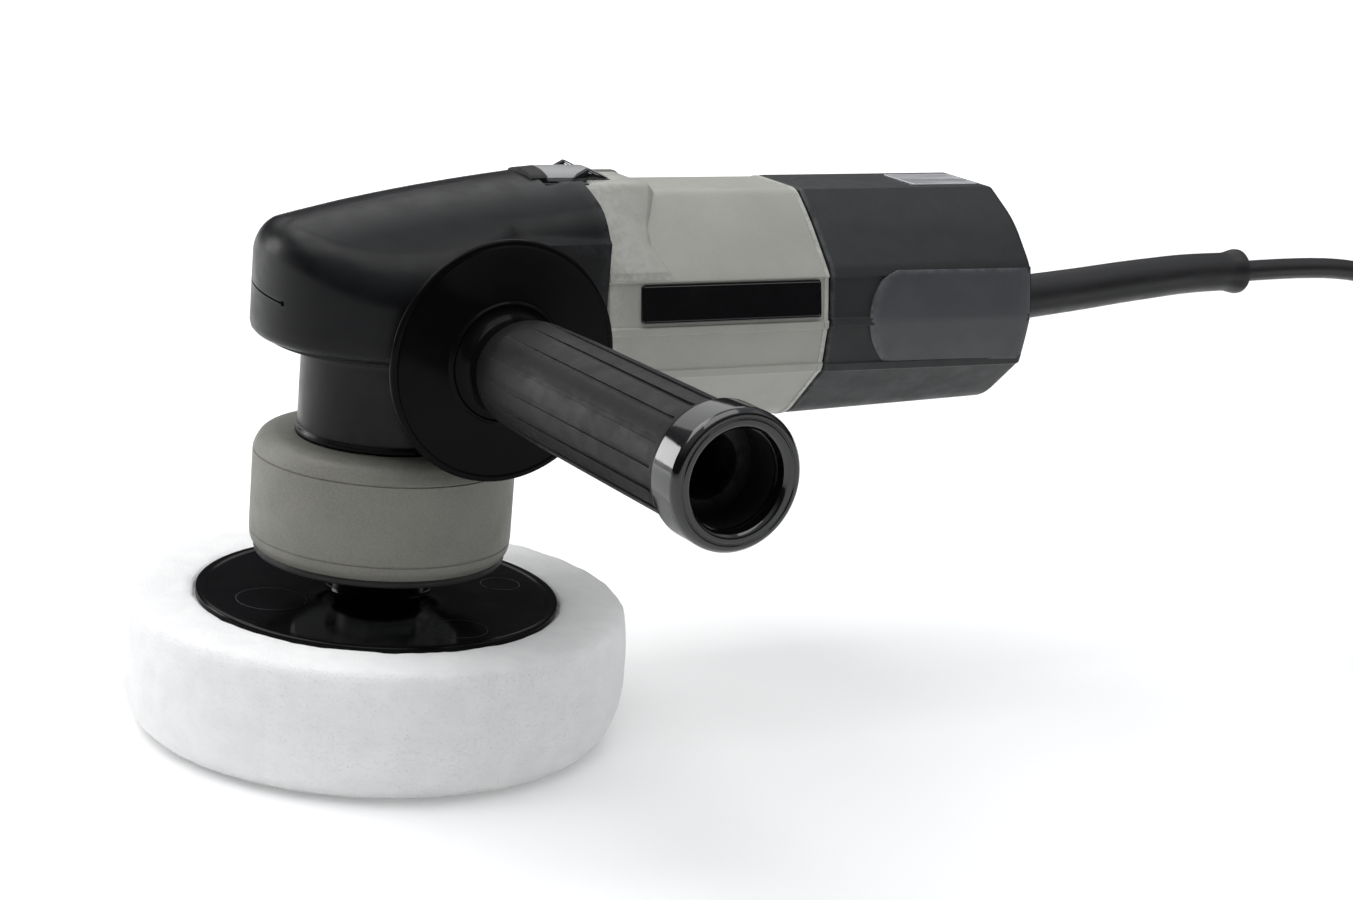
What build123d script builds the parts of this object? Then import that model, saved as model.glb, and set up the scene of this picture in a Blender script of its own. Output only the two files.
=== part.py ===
from build123d import *
import os
from math import atan, cos, degrees, pi, radians, sin, tan

# Right-angle dual action polisher, in millimetres.
# +Z is up along the spindle, +X runs along the motor to the cord, and the side handle points to -Y.
# The origin is where the spindle axis meets the surface that the pad rests on.

# ---- driving sizes -------------------------------------------------------------------------
orbit_offset = 4.0              # pad axis to spindle axis
orbit_angle = 58.4              # where the pad axis stands at rest, about +Z from +X
running_gap = 0.03              # radial clearance of a shaft in a bearing
body_gap = 0.4                  # air between bodies that move past each other

pad_height = 40.0
pad_radius = 76.2
pad_top_radius = 75.0
pad_contact_radius = 66.4
pad_edge_height = 17.0          # height of the rounded lower edge
plate_radius = 54.5
plate_thickness = 3.0
plate_proud = 1.0               # how far the plate stands above the foam
plate_hub_radius = 14.0
plate_hub_height = 5.4
stud_radius = 3.95
pad_shaft_radius = 7.5
pad_bearing_radius = 17.5
pad_bearing_width = 11.0
pad_collar_radius = 12.0
pad_collar_height = 6.0

weight_bottom = 51.2
weight_hub_radius = 24.6
weight_rim_radius = 35.2
weight_rim_height = 18.0
weight_rim_arc = 150.0
flange_thickness = 5.0
spindle_flange_radius = 19.0

shroud_radius = 38.8
shroud_bottom = 56.1
shroud_top = 90.7
shroud_wall = 2.5
seal_height = 2.0

neck_radius = 26.2
neck_bearing_radius = 20.0
neck_bearing_width = 12.0
neck_bearing_lift = 3.6         # from the neck's lower face to the bearing
spindle_radius = 8.5
spindle_upper_radius = 8.0
spindle_top_radius = 6.0
top_bearing_radius = 14.0
top_bearing_width = 8.0

motor_height = 128.0            # height of the motor axis
ring_teeth = 36
pinion_teeth = 9
ring_pitch_radius = 23.0
gear_face_width = 7.0
gear_backlash = 0.2
ring_gear_depth = 16.0          # apex to the back of the ring gear's hub

boot_radius = 41.5
boot_bottom = 120.4
boot_wall = 2.6
boot_front_height = 156.2       # height of the sloping top over the nose tip
boot_slope = 8.6                # degrees
boot_edge_radius = 8.0
boot_crown_radius = 52.0        # how round the top of the nose is from side to side
panel_front = 22.5              # where the faceted rear of the head begins
boot_rear_half_width = 34.6
head_rear = 52.0                # joint between gear case and motor housing
cover_split = 145.0             # joint between gear case and its cover

handle_x = 14.1
handle_height = 122.4
handle_boss_radius = 13.0
handle_boss_face = 43.0         # distance of each boss face from the middle plane
handle_thread_radius = 4.25
handle_thread_depth = 14.0
handle_flange_radius = 35.3
handle_flange_thickness = 2.2
handle_length = 129.0
grip_radius = 16.2
handle_collar_radius = 18.7
handle_collar_length = 11.5
handle_bore_radius = 13.5
handle_bore_depth = 55.0
grip_grooves = 16

housing_rear = 129.5
housing_wall = 3.0
cap_rear = 204.8
cap_edge_radius = 4.0

armature_radius = 18.5
armature_front = 73.0
armature_rear = 111.0
core_front = 72.0
core_rear = 112.0
core_radius = 31.0
core_bore_radius = 19.2
coil_overhang = 5.0
commutator_radius = 11.5
commutator_front = 121.0
commutator_length = 14.0
front_bearing_x = 36.0
front_bearing_radius = 16.0
front_bearing_width = 10.0
shaft_radius = 6.0
rear_bearing_x = 141.0
rear_bearing_radius = 11.0
rear_bearing_width = 7.0
shaft_tail_radius = 4.0
fan_front = 50.0
fan_radius = 22.4
fan_width = 11.0

slider_half_width = 8.0
slider_front = 43.7
slider_rear = 65.0
slider_bottom = 167.1
slider_top = 171.4
bezel_top = 166.8

dial_radius = 11.5
dial_height = 148.0
dial_proud = 4.5

relief_root_radius = 7.5
relief_tip_radius = 6.6
relief_bead_radius = 7.8
cord_radius = 3.6

screw_radius = 2.5
screw_head_radius = 4.0
screw_head_height = 4.0

os.makedirs("parts", exist_ok=True)


def save(piece, name):
    piece.part.label = name
    export_step(piece.part, f"parts/{name}.step")


# ---- shared shapes -------------------------------------------------------------------------
pad_x = orbit_offset * cos(radians(orbit_angle))
pad_y = orbit_offset * sin(radians(orbit_angle))

# corners of half the motor housing's cross-section, from its axis: sideways, up
front_corners = [(12.0, 36.8), (33.6, 15.2), (36.9, -0.6), (35.2, -14.2), (17.0, -34.6)]
rear_corners = [(12.5, 37.0), (35.6, 16.4), (39.8, 0.0), (37.0, -13.6), (19.0, -31.6)]
corner_radius = 7.0


def motor_section(x, corners, inset=0.0):
    """Faceted cross-section of the motor housing at one place along it."""
    mirrored = [(-side, up) for side, up in reversed(corners)]
    with BuildSketch(Plane.YZ.offset(x)) as section:
        with Locations((0, motor_height)):
            Polygon(*corners, *mirrored, align=None)
        fillet(section.vertices(), radius=corner_radius)
        if inset:
            offset(amount=-inset)
    return section.sketch


def boot_top(x):
    return boot_front_height + (x + boot_radius) * tan(radians(boot_slope))


def head_shape(inset):
    """Round nose and faceted rear of the gear head, moved inwards by inset."""
    radius = boot_radius - inset
    side = boot_rear_half_width - inset
    rear_top = boot_top(head_rear) - inset / cos(radians(boot_slope))
    front_top = boot_top(-boot_radius) - inset / cos(radians(boot_slope))
    crown = boot_crown_radius - inset
    slope = Vector(cos(radians(boot_slope)), 0, sin(radians(boot_slope)))
    upright = Vector(-slope.Z, 0, slope.X)
    crown_start = Vector(0, 0, boot_top(0)) - upright * boot_crown_radius - slope * 100
    with BuildPart() as head:
        with BuildSketch(Plane.XY.offset(boot_bottom)):
            Circle(radius)
        extrude(amount=60)
        with BuildSketch(Plane(origin=crown_start, x_dir=(0, 1, 0), z_dir=slope)):
            Circle(crown)
        extrude(amount=200, mode=Mode.INTERSECT)
        top = head.faces().sort_by(Axis.Z)[-1]
        fillet(top.edges(), radius=max(boot_edge_radius - inset, 1.0))
        with BuildSketch(Plane.YZ.offset(panel_front)):
            with BuildLine():
                Polyline(
                    (-side, boot_bottom), (-side, 153.5 - inset), (-25.5 + inset / 2, 161.0 - inset),
                    (-15.0 + inset / 2, rear_top - 1.6), (15.0 - inset / 2, rear_top - 1.6),
                    (25.5 - inset / 2, 161.0 - inset), (side, 153.5 - inset), (side, boot_bottom),
                    close=True,
                )
            make_face()
        extrude(amount=head_rear - panel_front)
        with BuildSketch(Plane.XZ.offset(-60)):
            with BuildLine():
                Polyline(
                    (-boot_radius, front_top), (head_rear + 1, rear_top + 0.15), (head_rear + 1, 200),
                    (-boot_radius, 200), close=True,
                )
            make_face()
        extrude(amount=120, mode=Mode.SUBTRACT)
    return head.part


def sealed_bearing(plane, bore, outside, width):
    """Ball bearing with a shallow seal recess on each face."""
    step = (outside - bore) * 0.28
    with BuildPart() as bearing:
        with BuildSketch(plane):
            Circle(outside)
            Circle(bore, mode=Mode.SUBTRACT)
        extrude(amount=width)
        for face_plane, sense in ((plane, 1), (plane.offset(width), -1)):
            with BuildSketch(face_plane):
                Circle(outside - step)
                Circle(bore + step, mode=Mode.SUBTRACT)
            extrude(amount=0.6 * sense, mode=Mode.SUBTRACT)
        chamfer(bearing.edges().filter_by(GeomType.CIRCLE).sort_by(SortBy.RADIUS)[-2:], length=0.6)
    return bearing.part


def ring_sector(plane, inner, outer, start, arc):
    """Part of a flat ring, from the angle start over arc degrees."""
    with BuildSketch(plane) as sector:
        with BuildLine():
            low = CenterArc((0, 0), inner, start, arc)
            high = CenterArc((0, 0), outer, start, arc)
            Line(low @ 0, high @ 0)
            Line(low @ 1, high @ 1)
        make_face()
    return sector.sketch


# ---- foam pad and backing plate ------------------------------------------------------------
pad_plane = Plane(origin=(pad_x, pad_y, 0))
pad_axis = Axis((pad_x, pad_y, 0), (0, 0, 1))
plate_top = pad_height + plate_proud
plate_bottom = plate_top - plate_thickness

with BuildPart() as foam_pad:
    with BuildSketch(Plane(origin=(pad_x, pad_y, 0), x_dir=(1, 0, 0), z_dir=(0, -1, 0))):
        with BuildLine():
            Line((0, 0), (pad_contact_radius, 0))
            Spline(
                (pad_contact_radius, 0), (72.5, 5.0), (pad_radius, pad_edge_height),
                tangents=((1, 0.35), (0.05, 1)),
            )
            Line((pad_radius, pad_edge_height), (pad_top_radius, pad_height))
            Line((pad_top_radius, pad_height), (plate_radius, pad_height))
            Line((plate_radius, pad_height), (plate_radius, plate_bottom))
            Line((plate_radius, plate_bottom), (0, plate_bottom))
            Line((0, plate_bottom), (0, 0))
        make_face()
    revolve(axis=pad_axis)
save(foam_pad, "foam_pad")

with BuildPart() as backing_plate:
    with BuildSketch(pad_plane.offset(plate_bottom)):
        Circle(plate_radius)
    extrude(amount=plate_thickness)
    fillet(backing_plate.edges().group_by(Axis.Z)[-1], radius=0.8)
    with BuildSketch(pad_plane.offset(plate_top)):
        Circle(plate_hub_radius)
    extrude(amount=plate_hub_height, taper=6)
    with Locations(pad_plane.offset(plate_top + plate_hub_height)):
        Hole(stud_radius)
save(backing_plate, "backing_plate")

pad_collar_bottom = plate_top + plate_hub_height
pad_shaft_top = pad_collar_bottom + pad_collar_height + 0.6 + 2 * pad_bearing_width
stud_top = pad_collar_bottom + 16.0

with BuildPart() as pad_stud:
    with BuildSketch(pad_plane.offset(plate_bottom)):
        Circle(stud_radius)
    extrude(amount=stud_top - plate_bottom)
    chamfer(pad_stud.edges().group_by(Axis.Z)[-1], length=0.8)
save(pad_stud, "pad_stud")

with BuildPart() as pad_spindle:
    with BuildSketch(pad_plane.offset(pad_collar_bottom)):
        Circle(pad_collar_radius)
        Rectangle(2 * pad_collar_radius, 1.62 * pad_collar_radius, mode=Mode.INTERSECT)
    extrude(amount=pad_collar_height)
    with BuildSketch(pad_plane.offset(pad_collar_bottom)):
        Circle(pad_shaft_radius + 2.5)
    extrude(amount=pad_collar_height + 0.6)
    with BuildSketch(pad_plane.offset(pad_collar_bottom)):
        Circle(pad_shaft_radius - running_gap)
    extrude(amount=pad_shaft_top - pad_collar_bottom)
    with BuildSketch(pad_plane.offset(pad_collar_bottom)):
        Circle(stud_radius + 0.05)
    extrude(amount=stud_top - pad_collar_bottom + 0.5, mode=Mode.SUBTRACT)
    with BuildSketch(pad_plane.offset(pad_shaft_top)):
        Circle(screw_radius)
    extrude(amount=-4.5, mode=Mode.SUBTRACT)
save(pad_spindle, "pad_spindle")

retainer_radius = pad_shaft_radius + 1.6
with BuildPart() as pad_retainer:
    with BuildSketch(pad_plane.offset(pad_shaft_top)):
        Circle(retainer_radius)
    extrude(amount=1.2)
    with BuildSketch(pad_plane.offset(pad_shaft_top + 1.2)):
        Circle(screw_head_radius)
    extrude(amount=2.6)
    with BuildSketch(pad_plane.offset(pad_shaft_top)):
        Circle(screw_radius)
    extrude(amount=-4.0)
    with BuildSketch(pad_plane.offset(pad_shaft_top + 3.8)):
        RegularPolygon(2.2, 6)
    extrude(amount=-1.8, mode=Mode.SUBTRACT)
save(pad_retainer, "pad_retaining_screw")

# ---- counterweight, pad bearings and spindle -----------------------------------------------
pad_bearing_bottom = pad_collar_bottom + pad_collar_height + 0.6
weight_top = pad_shaft_top + 6.0
flange_top = weight_top + flange_thickness
pad_bearing_plane = pad_plane.offset(pad_bearing_bottom)

for name, level in (("pad_bearing_lower", 0), ("pad_bearing_upper", 1)):
    with BuildPart() as pad_bearing:
        add(
            sealed_bearing(
                pad_bearing_plane.offset(level * pad_bearing_width),
                pad_shaft_radius, pad_bearing_radius, pad_bearing_width,
            )
        )
    save(pad_bearing, name)

with BuildPart() as counterweight:
    with BuildSketch(Plane.XY.offset(weight_bottom)):
        Circle(weight_hub_radius)
    extrude(amount=weight_top - weight_bottom)
    add_start = orbit_angle + 180 - weight_rim_arc / 2
    rim_sketch = ring_sector(
        Plane.XY.offset(weight_bottom + 8.0), weight_hub_radius - 2.0, weight_rim_radius,
        add_start, weight_rim_arc,
    )
    extrude(rim_sketch, amount=weight_rim_height)
    with BuildSketch(pad_plane.offset(weight_bottom)):
        Circle(pad_bearing_radius - 2.0)
    extrude(amount=pad_bearing_bottom - weight_bottom, mode=Mode.SUBTRACT)
    with BuildSketch(pad_bearing_plane):
        Circle(pad_bearing_radius)
    extrude(amount=2 * pad_bearing_width, mode=Mode.SUBTRACT)
    with BuildSketch(pad_plane.offset(pad_shaft_top)):
        Circle(retainer_radius + 1.2)
    extrude(amount=4.6, mode=Mode.SUBTRACT)
    with BuildSketch(Plane.XY.offset(weight_top)):
        with PolarLocations(14.5, 3, start_angle=orbit_angle + 60):
            Circle(screw_radius - 0.5)
    extrude(amount=-5.5, mode=Mode.SUBTRACT)
    chamfer(counterweight.edges().group_by(Axis.Z)[0].sort_by(SortBy.RADIUS)[-1], length=0.8)
save(counterweight, "counterweight")

neck_bearing_bottom = shroud_top + neck_bearing_lift
neck_bearing_top = neck_bearing_bottom + neck_bearing_width
gear_top = motor_height + ring_gear_depth
top_bearing_bottom = cover_split + 0.2
top_bearing_top = top_bearing_bottom + top_bearing_width

with BuildPart() as spindle_shaft:
    with BuildSketch(Plane.XY.offset(weight_top)):
        Circle(spindle_flange_radius)
    extrude(amount=flange_thickness)
    with BuildSketch(Plane.XY.offset(flange_top)):
        Circle(spindle_radius - running_gap)
    extrude(amount=neck_bearing_top + 1.0 - flange_top)
    with BuildSketch(Plane.XY.offset(neck_bearing_top + 1.0)):
        Circle(spindle_upper_radius)
    extrude(amount=gear_top - neck_bearing_top - 1.0)
    with BuildSketch(Plane.XY.offset(gear_top)):
        Circle(spindle_top_radius - running_gap)
    extrude(amount=top_bearing_top - gear_top)
    chamfer(spindle_shaft.edges().group_by(Axis.Z)[-1], length=0.8)
    with BuildSketch(Plane.XY.offset(flange_top)):
        with PolarLocations(14.5, 3, start_angle=orbit_angle + 60):
            Circle(screw_radius - 0.5)
    extrude(amount=-flange_thickness, mode=Mode.SUBTRACT)
    with BuildSketch(Plane.XY.offset(flange_top)):
        with PolarLocations(14.5, 3, start_angle=orbit_angle + 60):
            Circle(screw_radius + 1.5)
    extrude(amount=-2.4, mode=Mode.SUBTRACT)
save(spindle_shaft, "spindle_shaft")

with BuildPart() as weight_screws:
    with BuildSketch(Plane.XY.offset(flange_top)):
        with PolarLocations(14.5, 3, start_angle=orbit_angle + 60):
            Circle(screw_radius + 1.5)
    extrude(amount=-2.4)
    with BuildSketch(Plane.XY.offset(flange_top - 2.4)):
        with PolarLocations(14.5, 3, start_angle=orbit_angle + 60):
            Circle(screw_radius - 0.5)
    extrude(amount=-(flange_thickness - 2.4 + 5.0))
save(weight_screws, "counterweight_screws")

# ---- bevel gears, both with their cone apex on the motor axis --------------------------------
gear_module = 2 * ring_pitch_radius / ring_teeth
pinion_pitch_radius = ring_pitch_radius * pinion_teeth / ring_teeth
ring_cone = atan(ring_teeth / pinion_teeth)
outer_cone_distance = ring_pitch_radius / sin(ring_cone)
inner_cone_distance = outer_cone_distance - gear_face_width
addendum = gear_module
dedendum = 1.25 * gear_module
gap_half_width = pi * gear_module / 4 + gear_backlash / 2


def tooth_gap(direction, into_body, flank):
    """Wedge between two teeth, from beyond the outer end to beyond the inner end of the face."""
    with BuildPart() as gap:
        for distance in (outer_cone_distance + 2.0, inner_cone_distance - 2.0):
            scale = distance / outer_cone_distance
            origin = Vector(0, 0, motor_height) + direction * distance
            root = dedendum * scale * into_body
            tip = -1.5 * addendum * scale * into_body
            root_half = (gap_half_width - tan(radians(20)) * dedendum) * scale
            tip_half = (gap_half_width + tan(radians(flank)) * 1.5 * addendum) * scale
            with BuildSketch(Plane(origin=origin, x_dir=(0, 1, 0), z_dir=direction)):
                with BuildLine():
                    Polyline(
                        (-root_half, root), (root_half, root), (tip_half, tip), (-tip_half, tip), close=True
                    )
                make_face()
        loft()
    return gap.part


def cone_point(distance, height):
    """Radius and height over the apex of a point on the ring gear's tooth face."""
    radius = distance * sin(ring_cone) + height * cos(ring_cone)
    return radius, distance * cos(ring_cone) - height * sin(ring_cone)


inner_scale = inner_cone_distance / outer_cone_distance
with BuildPart() as ring_gear:
    outer_tip = cone_point(outer_cone_distance, addendum)
    inner_tip = cone_point(inner_cone_distance, addendum * inner_scale)
    outer_root = cone_point(outer_cone_distance, -dedendum - 0.6)
    with BuildSketch(Plane(origin=(0, 0, motor_height), x_dir=(1, 0, 0), z_dir=(0, -1, 0))):
        with BuildLine():
            Polyline(
                (spindle_upper_radius, 6.0), (inner_tip[0] - 1.2, 6.0), inner_tip, outer_tip, outer_root,
                (outer_root[0], 11.0), (13.0, 11.0), (13.0, ring_gear_depth),
                (spindle_upper_radius, ring_gear_depth), close=True,
            )
        make_face()
    revolve(axis=Axis.Z)
    ring_gap = tooth_gap(Vector(sin(ring_cone), 0, cos(ring_cone)), 1, 20)
    for tooth in range(ring_teeth):
        add(ring_gap.rotate(Axis.Z, 360 * tooth / ring_teeth), mode=Mode.SUBTRACT)
save(ring_gear, "ring_gear")

pinion_front = inner_cone_distance * sin(ring_cone) - 0.3
pinion_back = outer_cone_distance * sin(ring_cone)
pinion_hub_end = pinion_back + 11.0
pinion_bore_radius = 4.0
motor_axis = Axis((0, 0, motor_height), (1, 0, 0))
motor_plane = Plane(origin=(0, 0, motor_height), x_dir=(1, 0, 0), z_dir=(0, -1, 0))

with BuildPart() as bevel_pinion:
    with BuildSketch(motor_plane):
        with BuildLine():
            Polyline(
                (pinion_front, 0), (pinion_front, inner_cone_distance * cos(ring_cone) + 0.86),
                (pinion_back - 0.31, pinion_pitch_radius + 1.24),
                (pinion_back + 0.6, pinion_pitch_radius - 1.7),
                (pinion_back + 2.0, 6.2), (pinion_hub_end, 6.2), (pinion_hub_end, 0), close=True,
            )
        make_face()
    revolve(axis=motor_axis)
    pinion_gap = tooth_gap(Vector(sin(ring_cone), 0, cos(ring_cone)), -1, 30)
    half_tooth = 180 / pinion_teeth
    for tooth in range(pinion_teeth):
        turn = half_tooth + 360 * tooth / pinion_teeth
        add(pinion_gap.rotate(motor_axis, turn), mode=Mode.SUBTRACT)
    with BuildSketch(Plane.YZ.offset(pinion_hub_end)):
        with Locations((0, motor_height)):
            Circle(pinion_bore_radius)
    extrude(amount=-9.0, mode=Mode.SUBTRACT)
save(bevel_pinion, "bevel_pinion")

# ---- gear case, its cover and the bearings in them -------------------------------------------
cover_rear = 38.0               # the cover stops short of the switch
ledge_radius = 36.5
flange_front = 33.0
housing_screw_places = [
    (side * across, motor_height + up) for side in (-1, 1) for across, up in ((23.8, -16.0), (23.5, 15.0))
]
housing_screw_start = 38.0
housing_boss_front = 54.0
housing_boss_rear = 62.0
housing_boss_radius = 4.8
cover_screw_places = [(-28.0, -15.2), (-28.0, 15.2), (32.0, -20.0), (32.0, 20.0)]
cover_screw_seat = cover_split + 2.6
handle_near = Plane(origin=(handle_x, -handle_boss_face, handle_height), x_dir=(1, 0, 0), z_dir=(0, -1, 0))
handle_far = Plane(origin=(handle_x, handle_boss_face, handle_height), x_dir=(1, 0, 0), z_dir=(0, 1, 0))

head_core = head_shape(boot_wall)

with BuildPart() as gear_case:
    add(head_core)
    with BuildSketch(Plane.XY.offset(cover_split)):
        Rectangle(200, 200)
    extrude(amount=60, mode=Mode.SUBTRACT)
    with BuildSketch(Plane.XY.offset(boot_bottom)):
        Circle(ledge_radius)
    extrude(amount=-1.4)
    with BuildSketch(Plane.XY.offset(shroud_top)):
        Circle(neck_radius)
    extrude(amount=boot_bottom - shroud_top)
    flange = motor_section(flange_front, front_corners, 0.4)
    add(extrude(flange, amount=head_rear - flange_front, mode=Mode.PRIVATE))
    with BuildSketch(Plane.XY.offset(boot_bottom)):
        with Locations((flange_front + 20, 0)):
            Rectangle(46, 90)
    extrude(amount=60, mode=Mode.SUBTRACT)
    add(head_core.split(Plane.XY.offset(cover_split), keep=Keep.BOTTOM))
    with Locations((flange_front - 3, 0, (shroud_top + boot_bottom) / 2 + 3)):
        Box(16, 24, boot_bottom - shroud_top - 6)
    for boss_plane in (handle_near, handle_far):
        with BuildSketch(boss_plane):
            Circle(handle_boss_radius)
        extrude(amount=-(handle_boss_face - 30.0))
        with BuildSketch(boss_plane):
            Circle(handle_thread_radius)
        extrude(amount=-handle_thread_depth, mode=Mode.SUBTRACT)
    # spindle bores, from the neck's lower face up
    with BuildSketch(Plane.XY.offset(shroud_top)):
        Circle(neck_bearing_radius)
    extrude(amount=neck_bearing_top - shroud_top, mode=Mode.SUBTRACT)
    with BuildSketch(Plane.XY.offset(neck_bearing_bottom)):
        Circle(neck_bearing_radius + 1.0)
    extrude(amount=-1.2, mode=Mode.SUBTRACT)
    with BuildSketch(Plane.XY.offset(neck_bearing_top)):
        Circle(14.0)
    extrude(amount=40, mode=Mode.SUBTRACT)
    with BuildSketch(Plane.XY.offset(motor_height + 2.4)):
        Circle(ring_pitch_radius + 2.6)
    extrude(amount=30, mode=Mode.SUBTRACT)
    # pinion tunnel and front armature bearing seat
    with BuildSketch(Plane.YZ.offset(10.0)):
        with Locations((0, motor_height)):
            Circle(9.0)
    extrude(amount=front_bearing_x - 10.0, mode=Mode.SUBTRACT)
    with BuildSketch(Plane.YZ.offset(front_bearing_x)):
        with Locations((0, motor_height)):
            Circle(front_bearing_radius)
    extrude(amount=head_rear - front_bearing_x, mode=Mode.SUBTRACT)
    with BuildSketch(Plane.YZ.offset(front_bearing_x + front_bearing_width)):
        with Locations((0, motor_height)):
            Circle(fan_radius + 1.6)
            with Locations((0, 27)):
                Rectangle(80, 20, mode=Mode.SUBTRACT)
    extrude(amount=20, mode=Mode.SUBTRACT)
    # threaded holes
    with BuildSketch(Plane.YZ.offset(housing_screw_start)):
        with Locations(*housing_screw_places):
            Circle(screw_radius)
    extrude(amount=head_rear - housing_screw_start, mode=Mode.SUBTRACT)
    with BuildSketch(Plane.XY.offset(cover_split)):
        with Locations(*cover_screw_places):
            Circle(screw_radius)
    extrude(amount=-14.0, mode=Mode.SUBTRACT)
    with BuildSketch(Plane.XY.offset(shroud_top)):
        with PolarLocations((neck_radius + neck_bearing_radius + 1.0) / 2, 3, start_angle=90):
            Circle(1.6)
    extrude(amount=9.0, mode=Mode.SUBTRACT)
save(gear_case, "gear_case")

with BuildPart() as gear_cover:
    add(head_core.split(Plane.XY.offset(cover_split), keep=Keep.TOP))
    with BuildSketch(Plane.XY.offset(cover_split)):
        with Locations((cover_rear + 30, 0)):
            Rectangle(60, 100)
    extrude(amount=60, mode=Mode.SUBTRACT)
    with BuildSketch(Plane.XY.offset(cover_split)):
        Circle(top_bearing_radius)
    extrude(amount=top_bearing_top - cover_split, mode=Mode.SUBTRACT)
    with BuildSketch(Plane.XY.offset(cover_split)):
        with Locations(*cover_screw_places):
            Circle(screw_radius)
    extrude(amount=40, mode=Mode.SUBTRACT)
    with BuildSketch(Plane.XY.offset(cover_screw_seat)):
        with Locations(*cover_screw_places):
            Circle(screw_head_radius + 0.3)
    extrude(amount=40, mode=Mode.SUBTRACT)
save(gear_cover, "gear_case_cover")

with BuildPart() as cover_screws:
    with BuildSketch(Plane.XY.offset(cover_split - 13.0)):
        with Locations(*cover_screw_places):
            Circle(screw_radius)
    extrude(amount=cover_screw_seat - cover_split + 13.0)
    with BuildSketch(Plane.XY.offset(cover_screw_seat)):
        with Locations(*cover_screw_places):
            Circle(screw_head_radius)
    extrude(amount=screw_head_height)
    with BuildSketch(Plane.XY.offset(cover_screw_seat + screw_head_height)):
        with Locations(*cover_screw_places):
            RegularPolygon(2.3, 6)
    extrude(amount=-2.4, mode=Mode.SUBTRACT)
save(cover_screws, "cover_screws")

with BuildPart() as neck_bearing:
    add(
        sealed_bearing(
            Plane.XY.offset(neck_bearing_bottom), spindle_radius, neck_bearing_radius, neck_bearing_width
        )
    )
save(neck_bearing, "neck_bearing")

with BuildPart() as circlip:
    add(ring_sector(Plane.XY.offset(neck_bearing_bottom - 1.2), 16.5, neck_bearing_radius + 1.0, 105, 330))
    extrude(amount=1.2)
save(circlip, "bearing_circlip")

with BuildPart() as top_bearing:
    add(
        sealed_bearing(
            Plane.XY.offset(top_bearing_bottom), spindle_top_radius, top_bearing_radius, top_bearing_width
        )
    )
save(top_bearing, "top_bearing")

with BuildPart() as front_bearing:
    add(
        sealed_bearing(
            Plane(origin=(front_bearing_x, 0, motor_height), x_dir=(0, 1, 0), z_dir=(1, 0, 0)),
            shaft_radius, front_bearing_radius, front_bearing_width,
        )
    )
save(front_bearing, "armature_front_bearing")

with BuildPart() as rear_bearing:
    add(
        sealed_bearing(
            Plane(origin=(rear_bearing_x, 0, motor_height), x_dir=(0, 1, 0), z_dir=(1, 0, 0)),
            shaft_tail_radius, rear_bearing_radius, rear_bearing_width,
        )
    )
save(rear_bearing, "armature_rear_bearing")

# ---- rubber boot over the gear head ----------------------------------------------------------
notch_half_width = 13.0
notch_front = 40.5
with BuildPart() as boot:
    add(head_shape(0.0))
    add(head_core, mode=Mode.SUBTRACT)
    with BuildSketch(Plane.XY.offset(boot_bottom - 2.0)):
        Circle(boot_radius - boot_wall)
    extrude(amount=6.0, mode=Mode.SUBTRACT)
    for boss_plane in (handle_near, handle_far):
        with BuildSketch(boss_plane):
            Circle(handle_boss_radius + 0.2)
        extrude(amount=-20.0, mode=Mode.SUBTRACT)
    with BuildSketch(Plane.XY.offset(150.0)):
        with Locations((notch_front + 16, 0)):
            Rectangle(32, 2 * notch_half_width)
    extrude(amount=40, mode=Mode.SUBTRACT)
save(boot, "gear_case_boot")

# ---- shroud round the counterweight ----------------------------------------------------------
shroud_screw_radius = (neck_radius + neck_bearing_radius + 1.0) / 2
with BuildPart() as shroud:
    with BuildSketch(Plane.XY.offset(shroud_bottom)):
        Circle(shroud_radius)
    extrude(amount=shroud_top - shroud_bottom)
    fillet(shroud.edges().group_by(Axis.Z)[-1], radius=5.0)
    fillet(shroud.edges().group_by(Axis.Z)[0], radius=2.6)
    with BuildSketch(Plane.XY.offset(shroud_bottom)):
        Circle(shroud_radius - shroud_wall)
    extrude(amount=shroud_top - shroud_bottom - shroud_wall, mode=Mode.SUBTRACT)
    with BuildSketch(Plane.XY.offset(shroud_bottom)):
        Circle(17.0)
        with PolarLocations(shroud_screw_radius, 3, start_angle=90):
            Circle(1.6)
    extrude(amount=60, mode=Mode.SUBTRACT)
save(shroud, "counterweight_shroud")

with BuildPart() as seal:
    with BuildSketch(Plane.XY.offset(shroud_bottom - seal_height)):
        Circle(shroud_radius - shroud_wall + 0.4)
        Circle(shroud_radius - shroud_wall - 1.8, mode=Mode.SUBTRACT)
    extrude(amount=seal_height)
    with BuildSketch(Plane.XY.offset(shroud_bottom)):
        Circle(shroud_radius - shroud_wall)
        Circle(shroud_radius - shroud_wall - 0.7, mode=Mode.SUBTRACT)
    extrude(amount=2.0)
save(seal, "shroud_seal")

with BuildPart() as shroud_screws:
    with BuildSketch(Plane.XY.offset(shroud_top - shroud_wall)):
        with PolarLocations(shroud_screw_radius, 3, start_angle=90):
            Circle(1.6)
    extrude(amount=shroud_wall + 8.0)
    with BuildSketch(Plane.XY.offset(shroud_top - shroud_wall)):
        with PolarLocations(shroud_screw_radius, 3, start_angle=90):
            Circle(2.9)
    extrude(amount=-1.8)
save(shroud_screws, "shroud_screws")

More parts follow.
